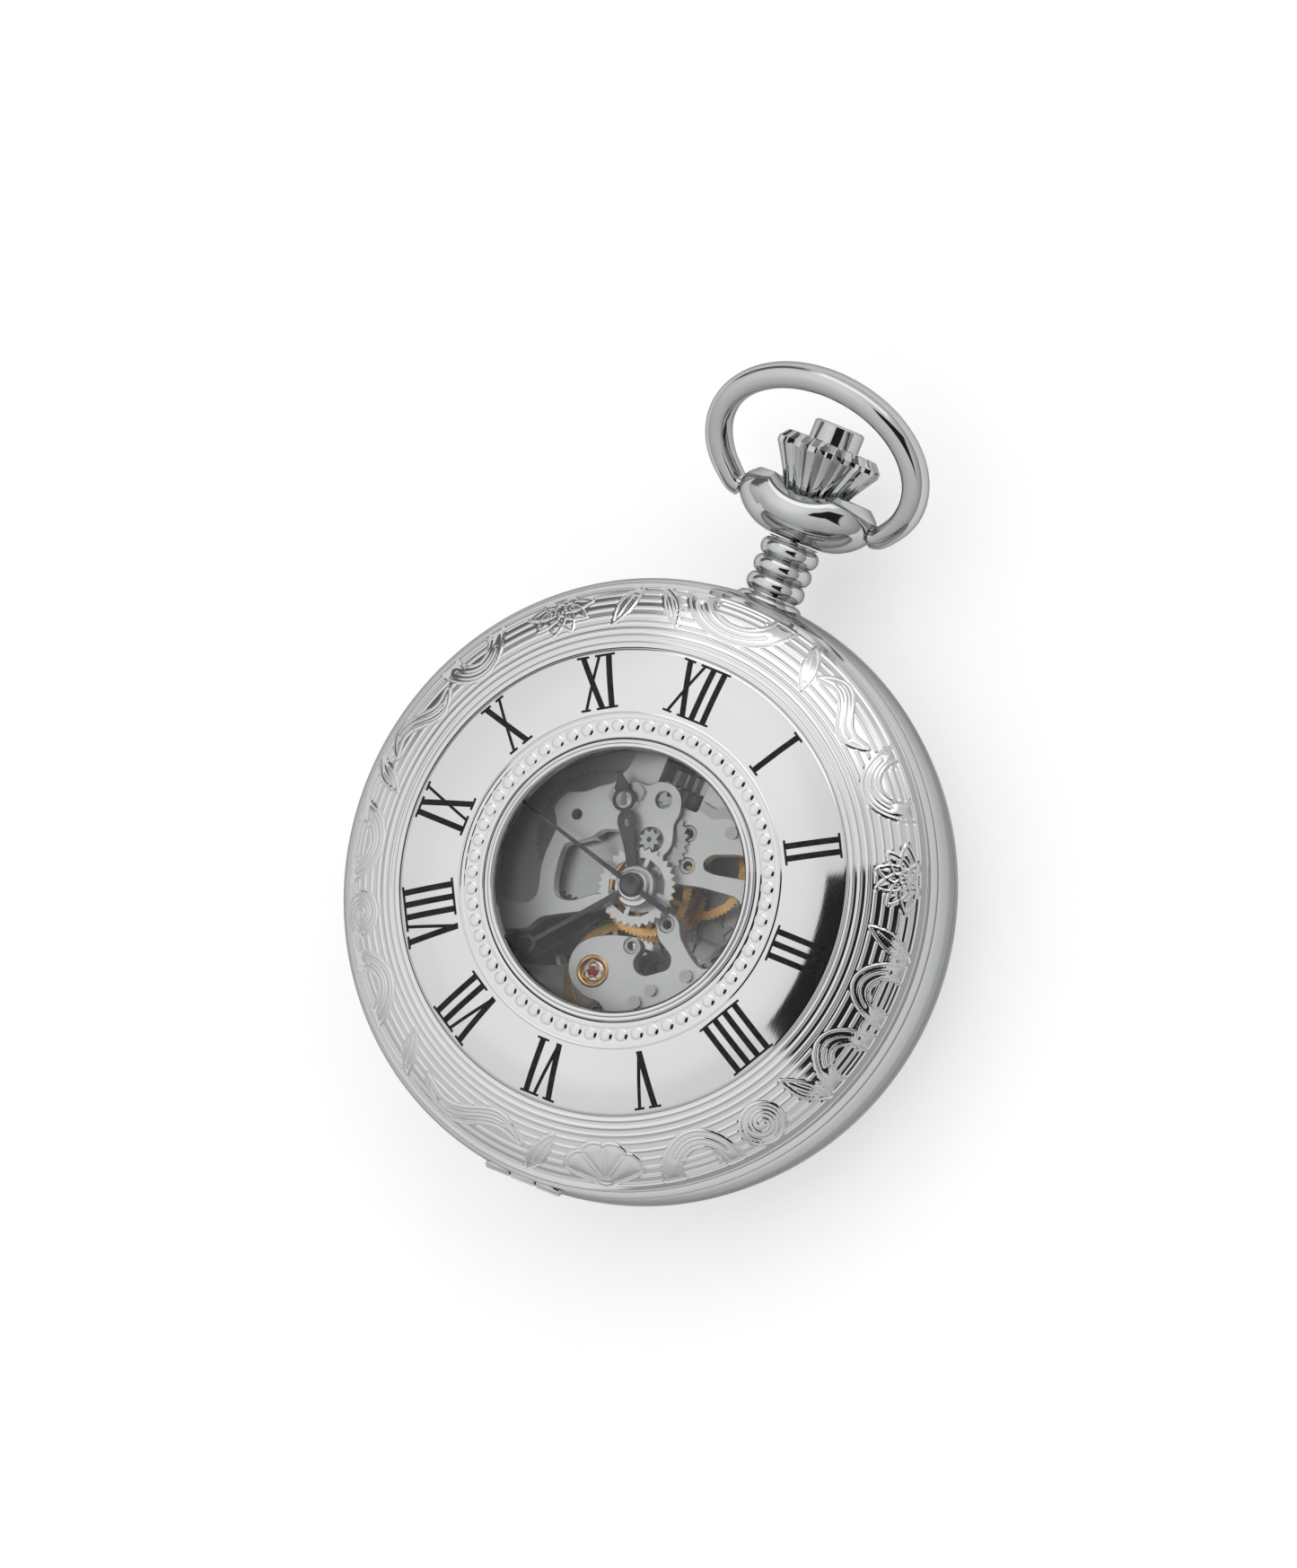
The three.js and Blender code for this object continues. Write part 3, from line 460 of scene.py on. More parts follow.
def rounded(points, radius):
    """A closed polygon with its corners rounded off."""
    p = np.asarray(points, float)
    out = []
    for before, here, after in zip(np.roll(p, 1, axis=0), p, np.roll(p, -1, axis=0)):
        back, ahead = before - here, after - here
        back_length, ahead_length = np.linalg.norm(back), np.linalg.norm(ahead)
        reach = min(radius, 0.45 * back_length, 0.45 * ahead_length)
        start, stop = here + back / back_length * reach, here + ahead / ahead_length * reach
        for t in np.linspace(0, 1, CORNER_STEPS + 1):
            out.append((1 - t) ** 2 * start + 2 * t * (1 - t) * here + t**2 * stop)
    return np.array(out)


def turned_points(profile, columns, axis="Z", centre=(0.0, 0.0, 0.0)):
    """Points of a profile of [radius, height] turned about an axis through centre."""
    profile = np.asarray(profile, float)
    turn = full_turn(columns)
    radius, height = profile[:, 0][:, None], profile[:, 1][:, None]
    u, v, w = radius * np.cos(turn), radius * np.sin(turn), height + 0 * turn
    points = np.stack([u, v, w] if axis == "Z" else [u, w, v], -1).reshape(-1, 3)
    return points + np.asarray(centre, float)


def turned(name, profile, material, body, replaced=(), columns=192, closed=True, slot="", **where):
    """A turned piece. A closed profile is a ring's; an open one starts and ends on the axis."""
    profile = np.asarray(profile, float)
    points = turned_points(profile, columns, **where)
    faces = grid_faces(len(profile), columns, close_rows=closed)
    if not closed:
        faces += end_caps(len(points), columns)
    return new_piece(name, points, faces, material, body, replaced, slot)


# ---- the lid ----
LID_OUTER = smooth_line(
    [(10.9, 14.42), (12.9, 14.33), (15.4, 14.06), (17.2, 13.68), (18.4, 13.34)]
    + [(19.5, 12.96), (21.4, 12.08), (22.6, 11.22), (23.3, 10.5)],
    24,
)
LID_ARC = line_run(LID_OUTER)
LID_EDGE = LID_OUTER[-1, 0]
BEADS = {"at": 11.85, "count": 60, "size": 0.47, "height": 0.1}
CHANNEL = {"depth": 0.06, "half": 0.62}
BORDER_START = 17.95
RIDGES = [(12.8, 0.09, 0.05), (18.25, 0.13, 0.08), (18.8, 0.15, 0.09), (19.35, 0.12, 0.07)]
BORDER_INNER = 19.6  # the engraving starts here
BORDER_FOOT = np.interp(BORDER_INNER, LID_OUTER[:, 0], LID_ARC)
BORDER_MIDDLE = 21.4
BORDER_TALL = 4.25  # the engraving fades out this far up the border
HATCH_PITCH = 0.68
LINE = {"width": 0.11, "height": 0.075}
SWELL = {"height": 0.08, "reach": 0.5}  # how far a motif stands up, over what distance from its edge
MOTIF_REACH = 6.0
FAR = 9.0


def lid_surface(radius):
    """Height and outward normal (radial, axial parts) of the lid's smooth surface at a radius."""
    height = np.interp(radius, LID_OUTER[:, 0], LID_OUTER[:, 1])
    slope = np.gradient(LID_OUTER[:, 1], LID_OUTER[:, 0])
    fall = np.interp(radius, LID_OUTER[:, 0], slope)
    length = np.sqrt(1 + fall**2)
    return height, -fall / length, 1 / length


def bead_ring(radius, turn):
    """Round beads in a shallow channel."""
    step = 2 * pi / BEADS["count"]
    off = (turn / step - np.round(turn / step)) * step * BEADS["at"]
    distance = np.hypot(radius - BEADS["at"], off)
    dome = BEADS["height"] * np.clip(1 - (distance / BEADS["size"]) ** 2, 0, 1) ** 0.4
    across = np.abs(radius - BEADS["at"]) / CHANNEL["half"]
    return dome - CHANNEL["depth"] * np.clip(1 - across**6, 0, 1)


def ridge(value, at, width, height):
    """A rounded ridge across a value."""
    return height * np.clip(1 - (np.abs(value - at) / width) ** 2, 0, 1)


def ellipse_arc(cu, cv, ru, rv, start, stop, steps=24):
    turn = np.radians(np.linspace(start, stop, steps))
    return joined(cu + ru * np.cos(turn), cv + rv * np.sin(turn))


def scroll(width, flip):
    """An arched scroll: u runs round the border and v outwards."""
    half = width / 2
    outer = ellipse_arc(0, 3.75, half, 3.45, 180, 360)
    inner = ellipse_arc(0.15 * flip, 3.75, half * 0.58, 2.1, 360, 180)
    crease = ellipse_arc(0.08 * flip, 3.75, half * 0.8, 2.8, 205, 320)
    bars = [np.array([(-half * 0.4, v), (half * 0.45, v)]) for v in (2.35, 2.9, 3.4)]
    return [np.concatenate([outer, inner])], [crease, *bars]


def spiral(width, flip):
    """A round volute."""
    turn = np.linspace(0, 3.6 * pi, 60)
    radius = 1.45 * (1 - turn / (4.4 * pi))
    line = joined(flip * radius * np.cos(turn), 2.1 + radius * np.sin(turn))
    return [ellipse_arc(0, 2.1, width / 2, 1.6, 0, 360, 36)], [line]


def petal(cu, cv, angle, length, width):
    """A petal that starts at a point and is rounded at its far end."""
    t = np.linspace(0, 1, 12)
    along, across = t * length, width / 2 * np.sin(pi * t**0.75) ** 0.8
    side = np.concatenate([joined(along, across), joined(along, -across)[::-1]])
    c, s = cos(radians(angle)), sin(radians(angle))
    u, v = side.T
    return joined(cu + u * c - v * s, cv + u * s + v * c)


def flower():
    """Open petals round a beaded eye."""
    petals = [petal(0, 2.8, a, 2.55, 1.25) for a in range(180, 361, 36)]
    petals += [petal(0, 2.8, a, 1.3, 0.7) for a in (35, 145)]
    eye = [ellipse_arc(0, 2.8, r, r, 0, 360, 20) for r in (0.32, 0.7)]
    return petals + [eye[1]], [eye[0]]


def shell():
    """A fan of lobes."""
    degrees = np.linspace(195, 345, 61)
    lobes = np.abs(np.sin(np.radians((degrees - 195) / 150 * 180 * 4)))
    radius, turn = 2.9 + 0.32 * lobes**0.6, np.radians(degrees)
    edge = joined(1.05 * radius * np.cos(turn), 3.5 + radius * np.sin(turn))
    foot = ellipse_arc(0, 3.5, 0.7, 0.45, 20, 160, 10)
    rays = []
    for a in np.radians((232.5, 270, 307.5)):
        u, v = cos(a), sin(a)
        rays.append(np.array([(0.5 * u, 3.5 + 0.6 * v), (2.7 * u, 3.5 + 2.6 * v)]))
    return [np.concatenate([edge, foot])], rays


def leaf(flip):
    """A slanting pointed leaf."""
    tip, foot = np.array([-0.9 * flip, 0.25]), np.array([1.0 * flip, 3.9])
    t = np.linspace(0, 1, 16)[:, None]
    across = np.array([foot[1] - tip[1], tip[0] - foot[0]])
    across = across / np.linalg.norm(across)
    spine = tip + (foot - tip) * t
    bulge = 0.55 * np.sin(pi * t)
    return [np.concatenate([spine + across * bulge, (spine - across * bulge)[::-1]])], [spine[3:12]]


def ribbon(width, flip):
    """A waving ribbon."""
    u = np.linspace(-width / 2, width / 2, 30)
    wave = 1.9 - 0.95 * flip * np.sin(u / width * 2 * pi)
    half = 0.62 * np.cos(u / width * pi) ** 0.5 + 0.06
    edge = np.concatenate([joined(u, wave + half), joined(u, wave - half)[::-1]])
    return [edge], [joined(u, wave)[6:24]]


# The border clockwise from 12: angle and motif. A motif takes its width and the way it faces.
BORDER = [
    (0, scroll(8.6, 1)), (19, leaf(-1)), (31, ribbon(7.0, 1)), (49, scroll(5.6, -1)),
    (68, flower()), (81, leaf(1)), (91, scroll(4.6, 1)), (106, scroll(4.8, -1)), (116, leaf(-1)),
    (127, spiral(3.4, 1)), (142, scroll(6.0, -1)), (162, shell()), (176, leaf(1)),
    (193, ribbon(9.5, -1)), (212, leaf(-1)), (228, scroll(5.6, 1)), (243, spiral(3.2, -1)),
    (258, scroll(6.0, -1)), (272, leaf(1)), (285, ribbon(6.8, 1)), (302, scroll(5.4, 1)),
    (322, flower()), (336, leaf(1)), (346, leaf(-1)),
]


def line_distance(points, line, closed):
    """How far each point is from a broken line."""
    starts = line if closed else line[:-1]
    stops = np.roll(line, -1, axis=0) if closed else line[1:]
    span = stops - starts
    length = np.maximum((span**2).sum(-1), 1e-12)
    offset = points[:, None, :] - starts[None]
    share = np.clip((offset * span).sum(-1) / length, 0, 1)
    return np.linalg.norm(offset - share[..., None] * span, axis=-1).min(1)


def inside(points, polygon):
    """Whether each point is inside a polygon, by counting crossings."""
    x, y = points[:, 0][:, None], points[:, 1][:, None]
    x0, y0 = polygon[:, 0], polygon[:, 1]
    x1, y1 = np.roll(x0, -1), np.roll(y0, -1)
    straddles = (y0 > y) != (y1 > y)
    with np.errstate(divide="ignore", invalid="ignore"):
        crossing = x < (x1 - x0) * (y - y0) / (y1 - y0) + x0
    return (straddles & crossing).sum(1) % 2 == 1


def engraving(radius, turn):
    """Height of the border: raised outlines of scrolls, leaves and flowers over a hatched ground."""
    v = np.interp(radius, LID_OUTER[:, 0], LID_ARC) - BORDER_FOOT
    clockwise = (90 - np.degrees(turn)) % 360
    nearest = np.full(radius.shape, FAR)
    covered = np.zeros(radius.shape, bool)
    swell = np.zeros(radius.shape)
    for angle, (regions, lines) in BORDER:
        u = np.radians((clockwise - angle + 180) % 360 - 180) * BORDER_MIDDLE
        near = (np.abs(u) < MOTIF_REACH) & (v > -0.5) & ~covered
        points = joined(u[near], v[near])
        distance = np.full(len(points), FAR)
        within = np.zeros(len(points), bool)
        for region in regions:
            distance = np.minimum(distance, line_distance(points, region, True))
            within |= inside(points, region)
        for line in lines:
            distance = np.minimum(distance, line_distance(points, line, False))
        nearest[near] = np.minimum(nearest[near], distance)
        covered[near] |= within & (distance > LINE["width"])
        rise = np.sqrt(np.clip((distance - LINE["width"]) / SWELL["reach"], 0, 1))
        swell[near] = np.maximum(swell[near], SWELL["height"] * rise * within)
    phase = (v / HATCH_PITCH) % 1.0 - 0.5
    hatch = ridge(phase * HATCH_PITCH, 0.0, LINE["width"], LINE["height"])
    hatch *= np.clip((nearest - 0.18) / 0.1, 0, 1) * ~covered * (v > 0.1)
    fade = np.clip((BORDER_TALL - v) / 0.4, 0, 1)
    lines = ridge(nearest, 0.0, LINE["width"], LINE["height"])
    return (np.maximum(lines, hatch) + swell) * fade * (v > -0.4)


def lid_relief(radius, turn):
    """Height of the bead ring and of the plain ridges."""
    height = np.where(np.abs(radius - BEADS["at"]) < 0.63, bead_ring(radius, turn), 0.0)
    return height + sum(ridge(radius, *each) for each in RIDGES)


def lid_sheet(name, stations, columns, relief, inner_profile, replaced=()):
    """One ring of the lid's outer skin with its relief, closed by a plain inner profile."""
    radius, angle = np.meshgrid(stations, full_turn(columns), indexing="ij")
    height, out_r, out_z = lid_surface(radius)
    lift = relief(radius.ravel(), angle.ravel()).reshape(radius.shape)
    r, z = radius + out_r * lift, height + out_z * lift
    outer = joined(r * np.cos(angle), r * np.sin(angle), z).reshape(-1, 3)
    points = np.concatenate([outer, turned_points(inner_profile, columns)])
    faces = grid_faces(len(stations) + len(inner_profile), columns, close_rows=True)
    new_piece(name, points, faces, LID_CHROME_PAINTED_LIGHTER, "lid", replaced)


def build_lid():
    spans = ((10.9, 11.3, 5), (11.3, 12.45, 18), (12.45, 12.95, 11), (12.95, BORDER_START, 16))
    field = np.unique(np.concatenate([np.linspace(*span) for span in spans]))
    under = [(BORDER_START, 12.8), (14.5, 13.35), (10.9, 13.72)]
    lid_sheet("lid_field", field, 1200, lid_relief, under, ["front_cover"])
    ridges = np.linspace(BORDER_START, BORDER_INNER, 28)
    lid_sheet("lid_ridges", ridges, 960, lid_relief, [(BORDER_INNER, 12.3), (BORDER_START, 12.85)])
    border = np.linspace(BORDER_INNER, LID_EDGE, 62)
    under = [(22.5, 10.5), (21.3, 11.5), (BORDER_INNER, 12.3)]
    lid_sheet("lid_border", border, 1480, engraving, under)
    rim = [(LID_EDGE, 10.52), (23.6, 10.1), (23.78, 9.65), (23.74, 9.2), (23.1, 9.2), (22.9, 9.9)]
    # The rim wears the darker case chrome: painted shade on the lid's edge.
    turned("lid_rim", rounded([*rim, (22.52, 10.45)], 0.15), CASE, "lid", slot="lid_steel")


build_lid()


# ---- numerals ----
STROKE = 0.46
SERIF_REACH, SERIF_THICK = 0.26, 0.17
NUMERALS = ["XII", "I", "II", "III", "IIII", "V", "VI", "VII", "VIII", "IX", "X", "XI"]
GLYPH_WIDTH = {"I": 0.95, "V": 1.75, "X": 1.85}
INLAY_STEPS = 8


def glyph_strokes(glyph):
    """Strokes of a glyph as (foot, head, width) across its own box, 0 to 1 upwards."""
    w = GLYPH_WIDTH[glyph]
    if glyph == "I":
        return [((w / 2, 0), (w / 2, 1), STROKE)]
    if glyph == "V":
        return [((w / 2, 0), (0.28, 1), STROKE), ((w / 2, 0), (w - 0.22, 1), STROKE * 0.55)]
    return [((w - 0.25, 0), (0.25, 1), STROKE), ((0.25, 0), (w - 0.25, 1), STROKE * 0.5)]


def numeral_strokes(text, height):
    """Every stroke and serif of a numeral, centred: lists of 4 corners."""
    left = -sum(GLYPH_WIDTH[glyph] for glyph in text) / 2
    quads = []
    for glyph in text:
        for (u0, v0), (u1, v1), width in glyph_strokes(glyph):
            a, b = np.array([left + u0, v0 * height]), np.array([left + u1, v1 * height])
            half = np.array([width / 2, 0])
            quads.append([a - half, a + half, b + half, b - half])
            reach = width / 2 + SERIF_REACH
            for u, low in ((b[0], height - SERIF_THICK), (a[0], 0.0)):
                if glyph == "V" and not low:
                    continue
                high = low + SERIF_THICK
                quads.append([(u - reach, low), (u + reach, low), (u + reach, high), (u - reach, high)])
        left += GLYPH_WIDTH[glyph]
    return np.array(quads, float)


def inlay(name, quads, inner, height_at, body, clockwise, lift, depth):
    """Strokes of enamel laid on a surface of revolution: each is a strip with a top and short walls."""
    points, faces = [], []
    for order, (a, b, c, d) in enumerate(quads):
        start = len(points)
        for t in np.linspace(0, 1, INLAY_STEPS + 1):
            for level in (-depth, lift + 0.0015 * (order % 5)):
                for u, v in (a + (d - a) * t, b + (c - b) * t):
                    r = hypot(inner + v, u)
                    angle = radians(90 - clockwise) - atan2(u, inner + v)
                    points.append((r * cos(angle), r * sin(angle), height_at(r) + level))
        end = start + 4 * INLAY_STEPS
        for k in range(start, end, 4):
            for i, j in ((0, 1), (1, 3), (3, 2), (2, 0)):
                faces.append([k + i, k + j, k + 4 + j, k + 4 + i])
        faces += [[start, start + 1, start + 3, start + 2], [end, end + 2, end + 3, end + 1]]
    new_piece(name, points, faces, INK, body, smooth=False)


def build_numerals(prefix, tall, *place):
    for hour, text in enumerate(NUMERALS):
        inner, height_at, body, lift, depth = place
        quads = numeral_strokes(text, tall)
        inlay(f"{prefix}_{hour or 12}", quads, inner, height_at, body, hour * 30, lift, depth)


build_numerals("lid_numeral", 4.35, 13.2, lambda r: lid_surface(r)[0], "lid", 0.03, 0.12)


# ---- glazing and its rings ----
def glazing(name, top, under, per_span, body, replaced, columns):
    """A pane turned from its top line, out from the axis, and its underside, back to the axis."""
    profile = np.concatenate([smooth_line(top, per_span), smooth_line(under, per_span)])
    turned(name, profile, GLASS, body, [replaced], columns, False)


def build_window():
    bezel = [(10, 13.62), (10.78, 13.62), (10.84, 14.3), (10.72, 14.58), (10.5, 14.52)]
    bezel += [(10.42, 14.68), (10.2, 14.68), (10, 14.4)]
    turned("window_ring", rounded(bezel, 0.06), LID_CHROME_PAINTED_LIGHTER, "lid", ["window_bezel"])
    glass = [(0.02, 14.48), (4, 14.44), (8, 14.34), (9.7, 14.26), (9.9, 14.15)]
    under = [(9.9, 13.75), (9.7, 13.66), (5, 13.72), (0.02, 13.76)]
    glazing("window_lens", glass, under, 4, "lid", "window_glass", 128)
    dome = [(0.02, 12.84), (6, 12.76), (12, 12.45), (17, 11.85), (20.2, 10.95), (20.44, 10.7)]
    under = [(20.44, 10.15), (20, 10.2), (15.5, 11.38), (9, 11.95), (0.02, 12.1)]
    glazing("crystal_dome", dome, under, 5, "case", "crystal", 160)
    seat = [(20.02, 9.12), (22.35, 9.12), (22.3, 9.9), (21.6, 10.8), (21.1, 11.12), (20.6, 11.12)]
    seat += [(20.5, 10.05), (20.02, 9.98)]
    turned("crystal_seat", rounded(seat, 0.14), CASE, "case", ["inner_bezel"])


build_window()


# ---- case band and back ----
ROD_COLUMNS = 40
KNUCKLE = {"bore": 0.26, "radius": 0.45, "reach": 3.2, "gap": 1.15, "relief": 0.8}


def subtract(piece, points, faces):
    """Cuts a helper body out of a piece and leaves a plain mesh."""
    mesh = new_mesh("cutter", points, faces)
    turn_outwards(mesh)
    cutter = new_object("cutter", mesh)
    modifier = piece.modifiers.new("cut", "BOOLEAN")
    modifier.operation, modifier.object, modifier.solver = "DIFFERENCE", cutter, "EXACT"
    bpy.context.view_layer.update()
    graph = bpy.context.evaluated_depsgraph_get()
    result = bpy.data.meshes.new_from_object(piece.evaluated_get(graph))
    piece.modifiers.clear()
    piece.data = result
    bpy.data.objects.remove(cutter)


def cross_line(profile, y, z):
    """Points of a profile of (radius, x) turned about a line parallel to X."""
    turn = full_turn(ROD_COLUMNS)
    rings = [[x + 0 * turn, y + r * np.cos(turn), z + r * np.sin(turn)] for r, x in profile]
    return np.concatenate([np.stack(ring, -1) for ring in rings])


def cross_rod(radius, x0, x1, y, z):
    """Points and faces of a round rod parallel to X."""
    faces = grid_faces(2, ROD_COLUMNS) + end_caps(2 * ROD_COLUMNS, ROD_COLUMNS)
    return cross_line([(radius, x0), (radius, x1)], y, z), faces


def knuckle(name, x0, x1, material, body):
    """A hinge barrel with broken ends."""
    r, bore = KNUCKLE["radius"], KNUCKLE["bore"]
    profile = [(bore, x0), (r - 0.1, x0), (r, x0 + 0.1), (r, x1 - 0.1), (r - 0.1, x1), (bore, x1)]
    faces = grid_faces(len(profile), ROD_COLUMNS, close_rows=True)
    new_piece(name, cross_line(profile, HINGE[1], HINGE[2]), faces, material, body)


def build_case():
    reach, gap = KNUCKLE["reach"], KNUCKLE["gap"]
    band = [(21.25, 4.2), (23.62, 4.2), (23.8, 4.9), (23.97, 5.9), (23.97, 7.3), (23.8, 8.3)]
    band = rounded([*band, (23.6, 8.95), (21.25, 8.95)], 0.3)
    piece = turned("case_band", band, CASE, "case", ["case_middle"])
    relief = cross_rod(KNUCKLE["relief"], -reach - 0.2, reach + 0.2, HINGE[1], HINGE[2])
    subtract(piece, *relief)
    subtract(bpy.data.objects["lid_rim"], *relief)
    under = [(0.02, 0), (8, 0), (15.6, 0.02), (18.6, 0.2), (20.8, 0.8), (22.4, 1.8)]
    under += [(23.3, 3), (23.6, 4)]
    inside_line = [(22.95, 4), (22.2, 2.9), (20.2, 1.5), (16, 0.78), (0.02, 0.76)]
    back = np.concatenate([smooth_line(under, 6), smooth_line(inside_line, 6)])
    back[:, 1] = np.clip(back[:, 1], 0.0, None)
    turned("case_back", back, CASE, "case", ["back_cover"], 192, False)
    knuckle("band_knuckle_left", -reach, -gap, CASE, "case")
    knuckle("band_knuckle_right", gap, reach, CASE, "case")
    knuckle("lid_knuckle", 0.1 - gap, gap - 0.1, LID_CHROME_PAINTED_LIGHTER, "lid")


build_case()


# ---- pendant ----
NECK = {"start": 24.35, "pitch": 1.42, "groove": 1.72, "ring": 2.3, "rings": 3}
COLLAR = {"half_width": 5.5, "depth": 0.68, "floor": 31.75}
COLLAR_FLANK = [(1.9, 28.87), (2.5, 28.92), (3.5, 29.2), (4.6, 29.85), (5.4, 30.7), (5.72, 31.5)]
COLLAR_FLANK += [(5.5, 32.4), (4.8, 33.1)]
COLLAR_COLUMNS = 160
DIP = {"radius": 4.4, "height": 36.55}  # the round hollow across the collar's top
BOW = {"half_width": 8.4, "half_height": 6.4, "centre": 4.52, "tilt": 30.0, "wire": 1.08, "pin": 0.5}
CROWN_FLUTES, CROWN_PER_FLUTE = 18, 12


def stem_row(radius, y, turn):
    """Points round the stem's axis."""
    return joined(radius * np.sin(turn), y + 0 * turn, STEM_Z + radius * np.cos(turn))


def build_neck():
    """Three full rings like stacked cords, with a flare where they meet the case."""
    groove, pitch = NECK["groove"], NECK["pitch"]
    line = [(0.95, 23.3), (2.62, 23.3), (2.6, 23.85), (2.35, 24.12), (1.86, 24.28)]
    for i in range(NECK["rings"]):
        y = NECK["start"] + i * pitch
        for t in np.radians(np.linspace(-72, 72, 11)):
            reach = groove + 0.03 + (NECK["ring"] - groove) * cos(t)
            line.append((reach, y + pitch / 2 + 0.5 * pitch * sin(t)))
        line.append((groove, y + pitch))
    line += [(2.0, y + pitch + 0.14), (2.05, 28.76), (0.95, 28.76)]
    place = {"axis": "Y", "centre": (0, 0, STEM_Z)}
    turned("ribbed_neck", line, CASE, "case", ["pendant_neck"], 96, **place)


def build_collar():
    """An oval bulb with flat ends, a dipped top and a well for the crown."""
    outer = smooth_line(COLLAR_FLANK, 8)
    turn = full_turn(COLLAR_COLUMNS)
    bottom, top = outer[0, 1], outer[-1, 1]
    flat = COLLAR["half_width"]
    rows = []
    for r, y in outer:
        x = np.clip(r * np.sin(turn), -flat, flat)
        drop = DIP["radius"] ** 2 - np.minimum(np.abs(x), DIP["radius"] - 0.1) ** 2
        limit = np.minimum(DIP["height"] - np.sqrt(drop), top)
        height = bottom + (y - bottom) / (top - bottom) * (limit - bottom)
        rows.append(joined(x, height, STEM_Z + COLLAR["depth"] * r * np.cos(turn)))
    x, height, z = rows[-1].T
    reach = np.hypot(x, z - STEM_Z)
    for inset, lift in ((0.12, 0.09), (0.3, 0.12), (0.48, 0.06), (0.6, -0.12)):
        scale = np.maximum(reach - inset, 0.2) / reach
        rows.append(joined(x * scale, height + lift, STEM_Z + (z - STEM_Z) * scale))
    for r, y in ((2.6, COLLAR["floor"]), (1.0, COLLAR["floor"]), (1.0, bottom)):
        rows.append(stem_row(r, y, turn))
    faces = grid_faces(len(rows), COLLAR_COLUMNS, close_rows=True)
    piece = new_piece("collar", np.concatenate(rows), faces, CASE, "case", ["bow_collar"])
    sharpen(piece, 40)
    for side in (-1, 1):
        subtract(piece, *cross_rod(0.62, side * 4.3, side * 7.0, PIVOT[1], PIVOT[2]))


def build_bow():
    """A drawn oval wire that thins towards its ends, which sit on pins in the collar."""
    half = [(COLLAR["half_width"] + 0.14, 0.0), (6.25, 0.2)]
    for t in np.radians(np.arange(-35, 90, 10)):
        rise = BOW["half_height"] * sin(t)
        half.append((BOW["half_width"] * cos(t), BOW["centre"] + rise))
    top = [(0.0, BOW["centre"] + BOW["half_height"])]
    centre = smooth_line(half + top + [(-x, y) for x, y in reversed(half)], 8)
    run = line_run(centre)
    end = np.minimum(run, run[-1] - run)
    girth = BOW["wire"] * (0.82 + 0.18 * np.clip(end / 4.0, 0, 1) ** 0.7)
    ahead = np.gradient(centre, axis=0)
    ahead /= np.linalg.norm(ahead, axis=1)[:, None]
    turn = full_turn(ROD_COLUMNS)
    across = np.sign(np.cos(turn)) * np.abs(np.cos(turn)) ** np.where(np.cos(turn) < 0, 0.6, 0.92)
    across = np.where(across < 0, across * 0.82, across)
    up = np.sign(np.sin(turn)) * np.abs(np.sin(turn)) ** 0.86
    tilt = radians(BOW["tilt"])
    rows = []
    for (cx, cy), (ax, ay), g in zip(centre, ahead, girth):
        x, y, z = cx + ay * across * g, cy - ax * across * g, up * g
        away = PIVOT[1] + y * cos(tilt) - z * sin(tilt)
        rows.append(joined(x, away, PIVOT[2] + y * sin(tilt) + z * cos(tilt)))
    points = np.concatenate(rows)
    faces = grid_faces(len(rows), ROD_COLUMNS) + end_caps(len(points), ROD_COLUMNS)
    new_piece("bow_wire", points, faces, CASE, "bow_ring", ["bow"])
    for side, name in ((-1, "bow_pin_left"), (1, "bow_pin_right")):
        ends = sorted((side * 4.45, side * (COLLAR["half_width"] + 0.3)))
        pin = cross_rod(BOW["pin"], *ends, PIVOT[1], PIVOT[2])
        new_piece(name, *pin, CASE, "bow_ring")


def build_crown():
    """A flaring cone of flat-topped flutes with a bevelled rim, on a boss in the collar's well."""
    low, high = node_box("crown")
    base, tall = low[1], high[1] - low[1]
    columns = CROWN_FLUTES * CROWN_PER_FLUTE
    turn = full_turn(columns)
    phase = (np.arange(columns) % CROWN_PER_FLUTE) / CROWN_PER_FLUTE
    groove = np.clip(1 - np.abs(phase - 0.5) / 0.26, 0, 1) ** 0.8
    # radius, height over the crown's foot and depth of the grooves as a share of the radius
    profile = [(0.6, -1.2, 0), (2.1, -1.2, 0), (2.35, -1, 0.05), (2.6, -0.4, 0.09)]
    profile += [(2.95, 0.3, 0.11), (3.5, 1.2, 0.12), (3.98, 1.95, 0.12), (4.15, 2.2, 0.115)]
    profile += [(4.15, 2.62, 0.115), (3.98, tall - 0.5, 0.12), (3.62, tall - 0.06, 0.12)]
    profile += [(3.45, tall, 0.1), (2.7, tall, 0.03), (2.35, tall, 0.0), (2.08, tall - 0.08, 0.0)]
    profile += [(2.08, 0.8, 0), (0.6, 0.8, 0)]
    rows = [stem_row(r * (1 - depth * groove), base + y, turn) for r, y, depth in profile]
    faces = grid_faces(len(rows), columns, close_rows=True)
    points = np.concatenate(rows)
    piece = new_piece("crown_fluted", points, faces, CASE, "crown_stem", ["crown"])
    sharpen(piece, 24)


def build_button():
    """A plain turned cap with a broken edge."""
    low, high = node_box("push_button")
    r, y0, y1 = high[0], low[1], high[1]
    line = [(0.02, y1), (r - 0.28, y1), (r - 0.12, y1 - 0.05), (r, y1 - 0.18)]
    line += [(r, y0 + 0.02), (0.02, y0 + 0.02)]
    place = {"axis": "Y", "centre": (0, 0, STEM_Z)}
    cap = ("button_cap", line, CASE, "button", ["push_button"], 96, False)
    sharpen(turned(*cap, **place), 30)


build_neck()
build_collar()
build_bow()
build_crown()
build_button()


